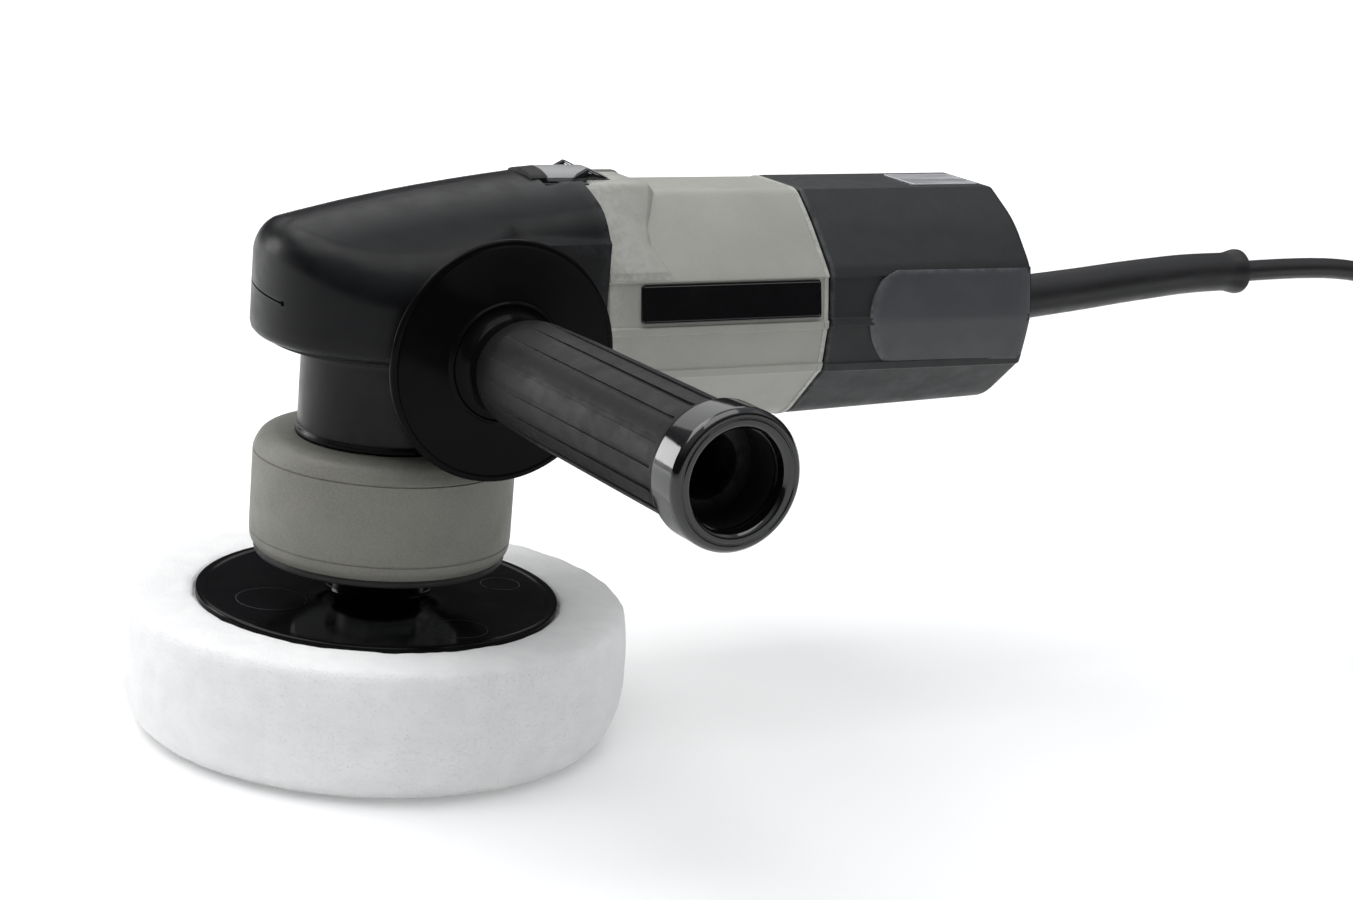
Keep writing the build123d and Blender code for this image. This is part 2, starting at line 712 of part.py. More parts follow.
# ---- motor housing ---------------------------------------------------------------------------
hood_front = 41.0
hood_rear = 66.5
hood_half_width = 11.0
hood_bottom = 153.0
switch_front = 43.0
switch_rear = 64.8
switch_half_width = 8.7
switch_bottom = 155.2
switch_height = 7.6
bezel_front = 41.6
bezel_rear = 68.5
bezel_half_width = 10.5
bezel_thickness = 2.0
slot_front = 46.0
slot_rear = 64.0
slot_half_width = 2.2
spider_front = 124.0
with BuildPart() as motor_housing:
    add(extrude(motor_section(head_rear, front_corners), amount=housing_rear - head_rear, mode=Mode.PRIVATE))
    with BuildSketch(Plane.XY.offset(hood_bottom)):
        with Locations(((hood_front + hood_rear) / 2, 0)):
            Rectangle(hood_rear - hood_front, 2 * hood_half_width)
    extrude(amount=bezel_top - bezel_thickness - hood_bottom)
    with BuildSketch(Plane.XY.offset(motor_height + 36.0)):
        with Locations((head_rear + 11.5, 0)):
            Rectangle(23.0, 25.0)
    extrude(amount=2.4)
    add(
        extrude(
            motor_section(head_rear, front_corners, housing_wall), amount=housing_rear - head_rear,
            mode=Mode.PRIVATE,
        ),
        mode=Mode.SUBTRACT,
    )
    # bosses for the long screws
    with BuildSketch(Plane.YZ.offset(housing_boss_front)):
        with Locations(*housing_screw_places):
            Circle(housing_boss_radius)
            Circle(screw_radius, mode=Mode.SUBTRACT)
    extrude(amount=housing_boss_rear - housing_boss_front)
    # rear bridge that holds the brushes and the rear bearing
    with BuildSketch(Plane.YZ.offset(spider_front)):
        with Locations((0, motor_height)):
            Rectangle(9.0, 70)
            Circle(20.5, mode=Mode.SUBTRACT)
    extrude(amount=housing_rear - spider_front)
    with BuildSketch(Plane.YZ.offset(housing_rear)):
        with Locations((0, motor_height)):
            Rectangle(9.0, 52)
            Circle(20.5, mode=Mode.SUBTRACT)
    extrude(amount=rear_bearing_x + rear_bearing_width - housing_rear)
    with BuildSketch(Plane.YZ.offset(rear_bearing_x - 2.0)):
        with Locations((0, motor_height)):
            Rectangle(9.0, 52)
            Circle(rear_bearing_radius + 3.0)
            Circle(8.0, mode=Mode.SUBTRACT)
    extrude(amount=rear_bearing_width + 2.0)
    with BuildSketch(Plane.YZ.offset(rear_bearing_x)):
        with Locations((0, motor_height)):
            Circle(rear_bearing_radius)
    extrude(amount=rear_bearing_width, mode=Mode.SUBTRACT)
    # switch pocket, the slot over it and the bezel's seat
    with BuildSketch(Plane.XY.offset(switch_bottom)):
        with Locations(((switch_front + switch_rear) / 2, 0)):
            Rectangle(switch_rear - switch_front + 0.6, 2 * switch_half_width + 0.4)
    extrude(amount=switch_height + 0.2, mode=Mode.SUBTRACT)
    with BuildSketch(Plane.XY.offset(switch_bottom)):
        with Locations(((slot_front + slot_rear) / 2, 0)):
            Rectangle(slot_rear - slot_front, 2 * slot_half_width)
    extrude(amount=20.0, mode=Mode.SUBTRACT)
    with BuildSketch(Plane.XY.offset(bezel_top - bezel_thickness)):
        with Locations(((bezel_front + bezel_rear) / 2, 0)):
            Rectangle(bezel_rear - bezel_front, 2 * bezel_half_width)
    extrude(amount=10.0, mode=Mode.SUBTRACT)
    # clamps for the brush holders
    with BuildSketch(Plane.YZ.offset(spider_front)):
        with Locations((0, motor_height)):
            Rectangle(69.6, 14.0)
            Rectangle(69.6, 10.0, mode=Mode.SUBTRACT)
            Rectangle(44.0, 14.0, mode=Mode.SUBTRACT)
    extrude(amount=housing_rear - spider_front)
save(motor_housing, "motor_housing")

with BuildPart() as housing_screws:
    with BuildSketch(Plane.YZ.offset(housing_screw_start)):
        with Locations(*housing_screw_places):
            Circle(screw_radius)
    extrude(amount=housing_boss_rear - housing_screw_start)
    with BuildSketch(Plane.YZ.offset(housing_boss_rear)):
        with Locations(*housing_screw_places):
            Circle(screw_head_radius)
    extrude(amount=screw_head_height)
save(housing_screws, "housing_screws")

# ---- rear cap --------------------------------------------------------------------------------
cap_screw_places = [(side * 22.5, motor_height + up) for side in (-1, 1) for up in (-18.0, 16.5)]
cap_screw_radius = 1.8
cap_screw_head_radius = 3.3
cap_screw_sink = 8.0
relief_height = 123.4           # height of the cord entry
with BuildPart() as rear_cap:
    front_outline = motor_section(housing_rear, front_corners)
    rear_outline = motor_section(cap_rear, rear_corners)
    loft([front_outline.face(), rear_outline.face()], ruled=True)
    fillet(rear_cap.faces().sort_by(Axis.X)[-1].edges(), radius=cap_edge_radius)
    front_inside = motor_section(housing_rear, front_corners, housing_wall)
    rear_inside = motor_section(cap_rear - housing_wall, rear_corners, housing_wall)
    loft([front_inside.face(), rear_inside.face()], ruled=True, mode=Mode.SUBTRACT)
    # openings in the rear face: cord relief, speed dial, air slots
    with BuildSketch(Plane.YZ.offset(cap_rear)):
        with Locations((0, relief_height)):
            Circle(relief_root_radius + 0.2)
        with Locations((0, dial_height)):
            Circle(dial_radius + body_gap)
    extrude(amount=-housing_wall - 1.0, mode=Mode.SUBTRACT)
    with BuildSketch(Plane.YZ.offset(cap_rear)):
        for side in (-1, 1):
            for level in range(6):
                with Locations((side * 22.0, 110.0 + 6.0 * level)):
                    SlotOverall(15.0, 2.6)
    extrude(amount=-housing_wall - 1.0, mode=Mode.SUBTRACT)
    # screw pillars
    with BuildSketch(Plane.YZ.offset(housing_rear + 2.0)):
        with Locations(*cap_screw_places):
            Circle(4.2)
            Circle(cap_screw_radius, mode=Mode.SUBTRACT)
    extrude(amount=cap_rear - housing_rear - 4.0)
    with BuildSketch(Plane.YZ.offset(cap_rear)):
        with Locations(*cap_screw_places):
            Circle(cap_screw_head_radius + 0.3)
    extrude(amount=-cap_screw_sink, mode=Mode.SUBTRACT)
save(rear_cap, "rear_cap")

with BuildPart() as cap_screws:
    with BuildSketch(Plane.YZ.offset(cap_rear - cap_screw_sink)):
        with Locations(*cap_screw_places):
            Circle(cap_screw_head_radius)
    extrude(amount=2.6)
    with BuildSketch(Plane.YZ.offset(housing_rear + 2.5)):
        with Locations(*cap_screw_places):
            Circle(cap_screw_radius)
    extrude(amount=cap_rear - cap_screw_sink - housing_rear - 2.5)
save(cap_screws, "rear_cap_screws")

# ---- armature --------------------------------------------------------------------------------
def motor_disc(x, radius, bore=0.0):
    """Round section of the motor at one place along its axis."""
    with BuildSketch(Plane.YZ.offset(x)) as disc:
        with Locations((0, motor_height)):
            Circle(radius)
            if bore:
                Circle(bore, mode=Mode.SUBTRACT)
    return disc.sketch


shaft_steps = [
    (pinion_hub_end - 9.0, pinion_hub_end, pinion_bore_radius),
    (pinion_hub_end, front_bearing_x + front_bearing_width, shaft_radius - running_gap),
    (front_bearing_x + front_bearing_width, rear_bearing_x, shaft_radius),
    (rear_bearing_x, rear_bearing_x + rear_bearing_width, shaft_tail_radius - running_gap),
]
with BuildPart() as armature_shaft:
    for start, end, radius in shaft_steps:
        extrude(motor_disc(start, radius), amount=end - start)
    chamfer(armature_shaft.edges().group_by(Axis.X)[-1], length=0.5)
save(armature_shaft, "armature_shaft")

with BuildPart() as armature_core:
    extrude(motor_disc(armature_front, armature_radius, shaft_radius), amount=armature_rear - armature_front)
    with BuildSketch(Plane.YZ.offset(armature_front)):
        with Locations((0, motor_height)):
            with PolarLocations(armature_radius - 3.5, 12):
                Rectangle(8.0, 2.2)
    extrude(amount=armature_rear - armature_front, mode=Mode.SUBTRACT)
save(armature_core, "armature_core")

with BuildPart() as armature_coils:
    extrude(motor_disc(armature_front - 6.0, armature_radius - 3.0, shaft_radius), amount=6.0)
    extrude(motor_disc(armature_rear, armature_radius - 3.0, shaft_radius), amount=6.0)
    fillet(armature_coils.edges().filter_by(GeomType.CIRCLE).sort_by(SortBy.RADIUS)[-4:], radius=2.0)
save(armature_coils, "armature_coils")

with BuildPart() as commutator:
    extrude(motor_disc(commutator_front, commutator_radius, shaft_radius), amount=commutator_length)
    with BuildSketch(Plane.YZ.offset(commutator_front)):
        with Locations((0, motor_height)):
            with PolarLocations(commutator_radius, 24):
                Rectangle(2.0, 0.5)
    extrude(amount=commutator_length, mode=Mode.SUBTRACT)
save(commutator, "commutator")

blades = 12
fan_hub_radius = 11.0
with BuildPart() as cooling_fan:
    extrude(motor_disc(fan_front + fan_width - 2.0, fan_radius, shaft_radius), amount=2.0)
    extrude(motor_disc(fan_front, fan_hub_radius, shaft_radius), amount=fan_width)
    with BuildSketch(Plane.YZ.offset(fan_front + 1.0)):
        with Locations((0, motor_height)):
            with PolarLocations((fan_hub_radius + fan_radius) / 2, blades):
                Rectangle(fan_radius - fan_hub_radius, 1.6, rotation=24)
    extrude(amount=fan_width - 1.0)
save(cooling_fan, "cooling_fan")

# ---- field, baffle and brushes ---------------------------------------------------------------
with BuildPart() as field_core:
    extrude(motor_disc(core_front, core_radius, core_bore_radius), amount=core_rear - core_front)
    for start in (38, 118, 218, 298):
        slot = ring_sector(
            Plane(origin=(core_front, 0, motor_height), x_dir=(0, 1, 0), z_dir=(1, 0, 0)),
            core_bore_radius - 2.0, 26.4, start, 24,
        )
        extrude(slot, amount=core_rear - core_front, mode=Mode.SUBTRACT)
save(field_core, "field_core")

with BuildPart() as field_coils:
    coil_plane = Plane(
        origin=(core_front - coil_overhang, 0, motor_height), x_dir=(0, 1, 0), z_dir=(1, 0, 0)
    )
    core_plane = coil_plane.offset(coil_overhang)
    for start in (40, 220):
        extrude(
            ring_sector(coil_plane, 20.4, 26.0, start, 100),
            amount=core_rear - core_front + 2 * coil_overhang,
        )
        extrude(
            ring_sector(core_plane, 18.0, 28.0, start + 20, 60),
            amount=core_rear - core_front, mode=Mode.SUBTRACT,
        )
save(field_coils, "field_coils")

with BuildPart() as fan_baffle:
    extrude(motor_disc(fan_front + fan_width + 2.6, 23.0, 9.0), amount=1.8)
    add(
        extrude(
            motor_section(fan_front + fan_width + 2.6, front_corners, housing_wall), amount=1.8,
            mode=Mode.PRIVATE,
        )
    )
    extrude(motor_disc(fan_front + fan_width + 2.6, 9.0), amount=1.8, mode=Mode.SUBTRACT)
    with BuildSketch(Plane.YZ.offset(fan_front + fan_width + 2.6)):
        with Locations(*housing_screw_places):
            Circle(screw_head_radius + 0.4)
    extrude(amount=1.8, mode=Mode.SUBTRACT)
    with BuildSketch(Plane.XY.offset(hood_bottom - 0.3)):
        with Locations((hood_front + 20.0, 0)):
            Rectangle(40.0, 2 * hood_half_width + 0.6)
    extrude(amount=20.0, mode=Mode.SUBTRACT)
save(fan_baffle, "fan_baffle")

brush_middle = commutator_front + commutator_length / 2
brush_start = commutator_radius + body_gap
brush_length = 10.0
brush_width = 6.0
brush_depth = 8.0
holder_end = 31.5
with BuildPart() as brush_holders:
    for side in (-1, 1):
        middle = side * (brush_start + 2.0 + holder_end) / 2
        with Locations((brush_middle, middle, motor_height)):
            Box(brush_depth + 4.0, holder_end - brush_start - 2.0, brush_width + 4.0)
        with Locations((brush_middle, middle - side * 2.0, motor_height)):
            Box(brush_depth, holder_end - brush_start - 2.0, brush_width, mode=Mode.SUBTRACT)
save(brush_holders, "brush_holders")

for name, side in (("carbon_brush_near", -1), ("carbon_brush_far", 1)):
    with BuildPart() as brush:
        with Locations((brush_middle, side * (brush_start + brush_length / 2), motor_height)):
            Box(brush_depth, brush_length, brush_width)
    save(brush, name)

spring_wire_radius = 0.4
spring_pitch = 1.3
spring_start = brush_start + brush_length + spring_wire_radius
spring_length = holder_end - 2.0 - spring_wire_radius - spring_start
with BuildPart() as brush_springs:
    for side in (-1, 1):
        coil = Helix(
            pitch=spring_pitch, height=spring_length, radius=2.1,
            center=(brush_middle, side * spring_start, motor_height), direction=(0, side, 0),
        )
        with BuildSketch(Plane(origin=coil @ 0, z_dir=coil % 0)):
            Circle(spring_wire_radius)
        sweep(path=coil, is_frenet=True)
save(brush_springs, "brush_springs")

# ---- switch and speed control ----------------------------------------------------------------
stem_half_length = 3.0
slider_middle = slot_front + body_gap + stem_half_length

with BuildPart() as switch_bezel:
    with BuildSketch(Plane.XY.offset(bezel_top - bezel_thickness)):
        with Locations(((bezel_front + bezel_rear) / 2, 0)):
            Rectangle(bezel_rear - bezel_front, 2 * bezel_half_width)
        with Locations(((slot_front + slot_rear) / 2, 0)):
            Rectangle(slot_rear - slot_front, 2 * slot_half_width, mode=Mode.SUBTRACT)
    extrude(amount=bezel_thickness)
save(switch_bezel, "switch_bezel")

stem_bottom = switch_bottom + switch_height - 2.0
with BuildPart() as switch_body:
    with BuildSketch(Plane.XY.offset(switch_bottom)):
        with Locations(((switch_front + switch_rear) / 2, 0)):
            Rectangle(switch_rear - switch_front, 2 * switch_half_width)
    extrude(amount=switch_height)
    with BuildSketch(Plane.XY.offset(stem_bottom - body_gap)):
        with Locations(((slot_front + slot_rear) / 2, 0)):
            Rectangle(slot_rear - slot_front, 2 * slot_half_width)
    extrude(amount=10.0, mode=Mode.SUBTRACT)
save(switch_body, "switch_body")

with BuildPart() as slider:
    with BuildSketch(Plane.XZ.offset(-slider_half_width)):
        with BuildLine():
            Polyline(
                (slider_front, slider_bottom + 1.2), (slider_front, slider_top),
                (slider_rear - 5.6, slider_top), (slider_rear, slider_top - 2.4),
                (slider_rear, slider_bottom),
                (slider_front + 3.3, slider_bottom), close=True,
            )
        make_face()
    extrude(amount=2 * slider_half_width)
    fillet(slider.edges().filter_by(Axis.X).group_by(Axis.Z)[-1], radius=1.0)
    with Locations((slider_middle, 0, (slider_bottom + stem_bottom) / 2)):
        Box(2 * stem_half_length, 2 * (slot_half_width - body_gap), slider_bottom - stem_bottom + 0.2)
save(slider, "switch_slider")

with BuildPart() as speed_module:
    with Locations((180.0, 0, dial_height - 1.0)):
        Box(26.0, 34.0, 20.0)
    fillet(speed_module.edges().filter_by(Axis.X), radius=1.5)
save(speed_module, "speed_module")

with BuildPart() as speed_dial:
    with BuildSketch(Plane.YZ.offset(cap_rear - housing_wall)):
        with Locations((0, dial_height)):
            Circle(dial_radius)
    extrude(amount=housing_wall + dial_proud)
    chamfer(speed_dial.edges().group_by(Axis.X)[-1], length=0.8)
    with BuildSketch(Plane.YZ.offset(cap_rear + 0.6)):
        with Locations((0, dial_height)):
            with PolarLocations(dial_radius, 24):
                Circle(0.7)
    extrude(amount=dial_proud, mode=Mode.SUBTRACT)
    with BuildSketch(Plane.YZ.offset(cap_rear + dial_proud)):
        with Locations((0, dial_height + dial_radius - 3.4)):
            Rectangle(1.2, 4.4)
    extrude(amount=-0.6, mode=Mode.SUBTRACT)
    with BuildSketch(Plane.YZ.offset(cap_rear - housing_wall)):
        with Locations((0, dial_height)):
            Circle(2.5)
    extrude(amount=-(cap_rear - housing_wall - 193.4))
save(speed_dial, "speed_dial")

# ---- side handle -----------------------------------------------------------------------------
handle_end = handle_boss_face + handle_length
handle_axis = Axis((handle_x, 0, handle_height), (0, -1, 0))
handle_plane = Plane(origin=(handle_x, 0, handle_height), x_dir=(0, -1, 0), z_dir=(1, 0, 0))
collar_start = handle_end - handle_collar_length
with BuildPart() as handle_grip:
    with BuildSketch(handle_plane):
        with BuildLine():
            flange_back = handle_boss_face + handle_flange_thickness
            Polyline(
                (handle_boss_face, 0), (handle_boss_face, handle_flange_radius),
                (flange_back, handle_flange_radius), (flange_back, 17.0),
            )
            Spline((flange_back, 17.0), (flange_back + 7.0, 12.6), (flange_back + 16.0, 15.0),
                   tangents=((0.3, -1), (1, 0.5)))
            Line((flange_back + 16.0, 15.0), (flange_back + 34.0, grip_radius))
            Line((flange_back + 34.0, grip_radius), (collar_start, grip_radius + 0.4))
            Line((collar_start, grip_radius + 0.4), (collar_start, handle_collar_radius))
            Line((collar_start, handle_collar_radius), (handle_end, handle_collar_radius))
            Line((handle_end, handle_collar_radius), (handle_end, 0))
            Line((handle_end, 0), (handle_boss_face, 0))
        make_face()
    revolve(axis=handle_axis)
    fillet(handle_grip.edges().group_by(Axis.Y)[0], radius=3.4)
    with BuildSketch(Plane(origin=(handle_x, -handle_end, handle_height), x_dir=(1, 0, 0), z_dir=(0, 1, 0))):
        Circle(handle_bore_radius)
    extrude(amount=handle_bore_depth, mode=Mode.SUBTRACT)
    with BuildSketch(Plane(origin=(handle_x, -handle_end, handle_height), x_dir=(1, 0, 0), z_dir=(0, 1, 0))):
        Circle(handle_bore_radius - 4.5)
    extrude(amount=handle_length - 24.0, mode=Mode.SUBTRACT)
    with BuildSketch(handle_near):
        Circle(handle_thread_radius)
    extrude(amount=24.0, mode=Mode.SUBTRACT)
    with BuildSketch(handle_near.offset(handle_flange_thickness + 30.0)):
        with PolarLocations(grip_radius + 1.2, grip_grooves):
            Circle(1.8)
    extrude(amount=collar_start - flange_back - 34.0, mode=Mode.SUBTRACT)
save(handle_grip, "handle_grip")

with BuildPart() as handle_stud:
    with BuildSketch(handle_near.offset(-handle_thread_depth + 1.0)):
        Circle(handle_thread_radius)
    extrude(amount=handle_thread_depth - 1.0 + 24.0)
    with BuildSketch(handle_near.offset(24.0)):
        RegularPolygon(7.5, 6)
    extrude(amount=5.0)
    chamfer(handle_stud.edges().group_by(Axis.Y)[-1], length=0.8)
save(handle_stud, "handle_stud")

# ---- plates and label ------------------------------------------------------------------------
plate_front = 63.0
plate_rear = 126.0
for name, side in (("nameplate_near", -1), ("nameplate_far", 1)):
    facet_low = Vector(0, side * front_corners[2][0], motor_height + front_corners[2][1])
    facet_high = Vector(0, side * front_corners[1][0], motor_height + front_corners[1][1])
    along = (facet_high - facet_low).normalized()
    outwards = Vector(1, 0, 0).cross(along) * -side
    middle = facet_low + along * 8.6
    with BuildPart() as nameplate:
        place = Plane(
            origin=(plate_front + (plate_rear - plate_front) / 2, middle.Y, middle.Z),
            x_dir=(1, 0, 0), z_dir=outwards,
        )
        with BuildSketch(place.offset(0.02)):
            RectangleRounded(plate_rear - plate_front, 11.6, 1.4)
        extrude(amount=0.7)
    save(nameplate, name)

with BuildPart() as rating_label:
    tilt = degrees(atan((rear_corners[0][1] - front_corners[0][1]) / (cap_rear - housing_rear)))
    label_x = 188.0
    label_z = motor_height + front_corners[0][1] + (label_x - housing_rear) * tan(radians(tilt))
    label_up = (-tan(radians(tilt)), 0, 1)
    with BuildSketch(Plane(origin=(label_x, 0, label_z + 0.02), x_dir=(1, 0, 0), z_dir=label_up)):
        RectangleRounded(25.0, 18.0, 1.0)
    extrude(amount=0.3)
save(rating_label, "rating_label")

# ---- cord: relief, free tube, coil, tie, tail and plug ----------------------------------------
relief_line = [
    (cap_rear - housing_wall, relief_height), (236.0, 125.6), (272.0, 128.9), (298.0, 130.8),
    (324.0, 131.2),
]
with BuildPart() as strain_relief:
    with BuildLine() as relief_path:
        Spline(*[(x, 0, z) for x, z in relief_line], tangents=((1, 0, 0.05), (1, 0, 0)))
    relief_wire = relief_path.wires()[0]
    for share in (0.0, 0.25, 0.5, 0.75, 0.95):
        radius = relief_root_radius + (relief_tip_radius - relief_root_radius) * share
        with BuildSketch(Plane(origin=relief_wire @ share, z_dir=relief_wire % share)):
            Circle(radius)
    loft()
    with BuildSketch(Plane(origin=relief_wire @ 0.95, z_dir=relief_wire % 0.95)):
        Circle(relief_bead_radius)
    extrude(amount=6.0)
    fillet(strain_relief.edges().filter_by(GeomType.CIRCLE).sort_by(Axis.X)[-1], radius=2.4)
    relief_start = (cap_rear - housing_wall, 0, relief_height)
    with BuildSketch(Plane(origin=relief_start, x_dir=(0, 1, 0), z_dir=(1, 0, 0))):
        Circle(relief_root_radius + 2.4)
    extrude(amount=-3.0)
save(strain_relief, "strain_relief")

clamp_x = 193.0
with BuildPart() as cord_clamp:
    with Locations((clamp_x, 0, relief_height + cord_radius + 2.0)):
        Box(6.0, 24.0, 4.0)
    with Locations((clamp_x, 0, relief_height - cord_radius - 2.0)):
        Box(6.0, 24.0, 4.0)
    with Locations((clamp_x, -9.0, relief_height), (clamp_x, 9.0, relief_height)):
        Cylinder(1.5, 2 * cord_radius + 8.0)
save(cord_clamp, "cord_clamp")

coil_x = 401.5
coil_y = -92.0
coil_middle_radius = 43.7
coil_columns = 4
coil_layers = 2
turn_pitch = 2 * cord_radius + 0.1
coil_width = coil_columns * turn_pitch
coil_height = coil_layers * turn_pitch
coil_outer_radius = coil_middle_radius + turn_pitch * (coil_columns - 1) / 2
coil_lift = 0.1                 # from the floor to the lowest turns
relief_end = strain_relief.part.bounding_box().max.X

cord_route = [
    (relief_end, 0, 131.2), (351, 0, 132.1), (379, -0.5, 130.8), (402, -2, 125),
    (421, -6, 113.5), (437, -13, 95), (449, -23, 72), (456.5, -35, 48),
    (460.5, -50, 26.5), (462.6, -69, 11), (463, -92, 5),
]


def corner_radii(points):
    """Largest tangent arc at each corner of a route that its two runs allow."""
    radii = []
    for before, corner, after in zip(points, points[1:], points[2:]):
        first = Vector(*corner) - Vector(*before)
        second = Vector(*after) - Vector(*corner)
        half_turn = radians(first.get_angle(second)) / 2
        radii.append(0.45 * min(first.length, second.length) / tan(half_turn))
    return radii


def cord_tube(points):
    with BuildPart() as tube:
        with BuildLine() as path:
            FilletPolyline(*points, radius=corner_radii(points))
        line = path.wires()[0]
        with BuildSketch(Plane(origin=line @ 0, z_dir=line % 0)):
            Circle(cord_radius)
        sweep(path=line)
    print("cord radii", [round(radius) for radius in corner_radii(points)])
    print("cord tube length", round(line.length, 1), "volume", round(tube.part.volume), "expected",
          round(pi * cord_radius ** 2 * line.length))
    return tube


power_cord = cord_tube(cord_route)
save(power_cord, "power_cord")

with BuildPart() as cord_coil:
    with BuildSketch(Plane(origin=(coil_x, coil_y, 0), x_dir=(1, 0, 0), z_dir=(0, -1, 0))):
        with Locations((coil_middle_radius, coil_lift + coil_height / 2)):
            RectangleRounded(coil_width, coil_height, cord_radius - 0.1)
    revolve(axis=Axis((coil_x, coil_y, 0), (0, 0, 1)))
save(cord_coil, "cord_coil")

tie_wall = 1.1
tie_width = 12.0
with BuildPart() as coil_tie:
    tie_plane = Plane(
        origin=(coil_x - tie_width / 2, coil_y + coil_middle_radius, coil_lift + coil_height / 2),
        x_dir=(0, 1, 0), z_dir=(1, 0, 0),
    )
    with BuildSketch(tie_plane):
        RectangleRounded(coil_width + 2 * tie_wall, coil_height + 2 * tie_wall, cord_radius)
    extrude(amount=tie_width)
    add(cord_coil.part, mode=Mode.SUBTRACT)
    # flat underneath, level with the lowest turns
    with BuildSketch(Plane.XY.offset(coil_lift)):
        with Locations((coil_x, coil_y + coil_middle_radius)):
            Rectangle(2 * tie_width, 2 * coil_width)
    extrude(amount=-10.0, mode=Mode.SUBTRACT)
save(coil_tie, "coil_tie")

plug_height = 9.0
plug_start = 363.0
tail_y = coil_y - coil_outer_radius
tail_start = coil_lift + 1.5 * turn_pitch
tail_route = [
    (coil_x, tail_y, tail_start), (coil_x - 13, tail_y - 0.6, tail_start + 0.1),
    (coil_x - 26, tail_y - 0.4, tail_start - 1.0), (plug_start, tail_y, plug_height),
]
cord_tail = cord_tube(tail_route)
save(cord_tail, "cord_tail")

plug_length = 34.0
with BuildPart() as plug_body:
    with BuildSketch(Plane(origin=(plug_start, tail_y, plug_height), x_dir=(0, 1, 0), z_dir=(-1, 0, 0))):
        RectangleRounded(13.0, 12.0, 4.5)
    plug_middle = (plug_start - 14, tail_y, plug_height)
    with BuildSketch(Plane(origin=plug_middle, x_dir=(0, 1, 0), z_dir=(-1, 0, 0))):
        RectangleRounded(17.0, 14.0, 4.5)
    with BuildSketch(
        Plane(origin=(plug_start - plug_length, tail_y, plug_height), x_dir=(0, 1, 0), z_dir=(-1, 0, 0))
    ):
        RectangleRounded(24.0, 17.0, 4.5)
    loft()
save(plug_body, "plug_body")

with BuildPart() as plug_blades:
    with Locations(
        (plug_start - plug_length - 8.0, tail_y - 6.35, plug_height),
        (plug_start - plug_length - 8.0, tail_y + 6.35, plug_height),
    ):
        Box(16.0, 1.5, 6.3)
save(plug_blades, "plug_blades")
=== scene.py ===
import math

import bmesh
import bpy
from mathutils import Matrix, Vector


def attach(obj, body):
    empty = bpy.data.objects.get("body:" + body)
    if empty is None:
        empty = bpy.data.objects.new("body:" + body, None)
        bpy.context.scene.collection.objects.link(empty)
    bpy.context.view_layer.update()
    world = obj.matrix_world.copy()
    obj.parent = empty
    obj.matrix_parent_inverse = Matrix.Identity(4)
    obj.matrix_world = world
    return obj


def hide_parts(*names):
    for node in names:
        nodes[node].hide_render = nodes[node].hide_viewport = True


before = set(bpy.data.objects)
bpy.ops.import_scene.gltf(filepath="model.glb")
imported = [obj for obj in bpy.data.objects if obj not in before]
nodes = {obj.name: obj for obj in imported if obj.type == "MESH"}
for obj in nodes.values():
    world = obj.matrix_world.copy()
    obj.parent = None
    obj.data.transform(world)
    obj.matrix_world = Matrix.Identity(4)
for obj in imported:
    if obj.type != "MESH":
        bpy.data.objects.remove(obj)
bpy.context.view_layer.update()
mm = 0.001
print("frame loaded with", len(nodes), "nodes")

# the camera stands on the handle's side, a little above the head and tilted a few degrees
camera = {
    "lens": 76.48,
    "sensor": 36.0,
    "place": (-0.35823, -0.74588, 0.30588),
    "azimuth": -31.627,
    "elevation": 14.486,
    "roll": 5.001,
}


def addCamera():
    az = math.radians(camera["azimuth"])
    el = math.radians(camera["elevation"])
    roll = math.radians(camera["roll"])
    back = Vector((math.sin(az) * math.cos(el), -math.cos(az) * math.cos(el), math.sin(el)))
    right = Vector((math.cos(az), math.sin(az), 0))
    up = back.cross(right)
    tiltedRight = math.cos(roll) * right + math.sin(roll) * up
    tiltedUp = math.cos(roll) * up - math.sin(roll) * right
    data = bpy.data.cameras.new("camera")
    data.lens = camera["lens"]
    data.sensor_width = camera["sensor"]
    data.clip_start = 0.01
    eye = bpy.data.objects.new("camera", data)
    turn = Matrix((tiltedRight, tiltedUp, back)).transposed()
    eye.matrix_world = Matrix.Translation(camera["place"]) @ turn.to_4x4()
    bpy.context.scene.collection.objects.link(eye)
    bpy.context.scene.camera = eye


addCamera()


# one output of a node, with the arithmetic that the trees below are written in
class Wire:
    def __init__(self, sheet, socket):
        self.sheet = sheet
        self.socket = socket

    def __add__(self, other):
        return self.sheet.maths("ADD", self, other)

    def __radd__(self, other):
        return self.sheet.maths("ADD", other, self)

    def __sub__(self, other):
        return self.sheet.maths("SUBTRACT", self, other)

    def __rsub__(self, other):
        return self.sheet.maths("SUBTRACT", other, self)

    def __mul__(self, other):
        return self.sheet.maths("MULTIPLY", self, other)

    def __rmul__(self, other):
        return self.sheet.maths("MULTIPLY", other, self)

    def __truediv__(self, other):
        return self.sheet.maths("DIVIDE", self, other)

    def __lt__(self, other):
        return self.sheet.maths("LESS_THAN", self, other)

    def __gt__(self, other):
        return self.sheet.maths("GREATER_THAN", self, other)


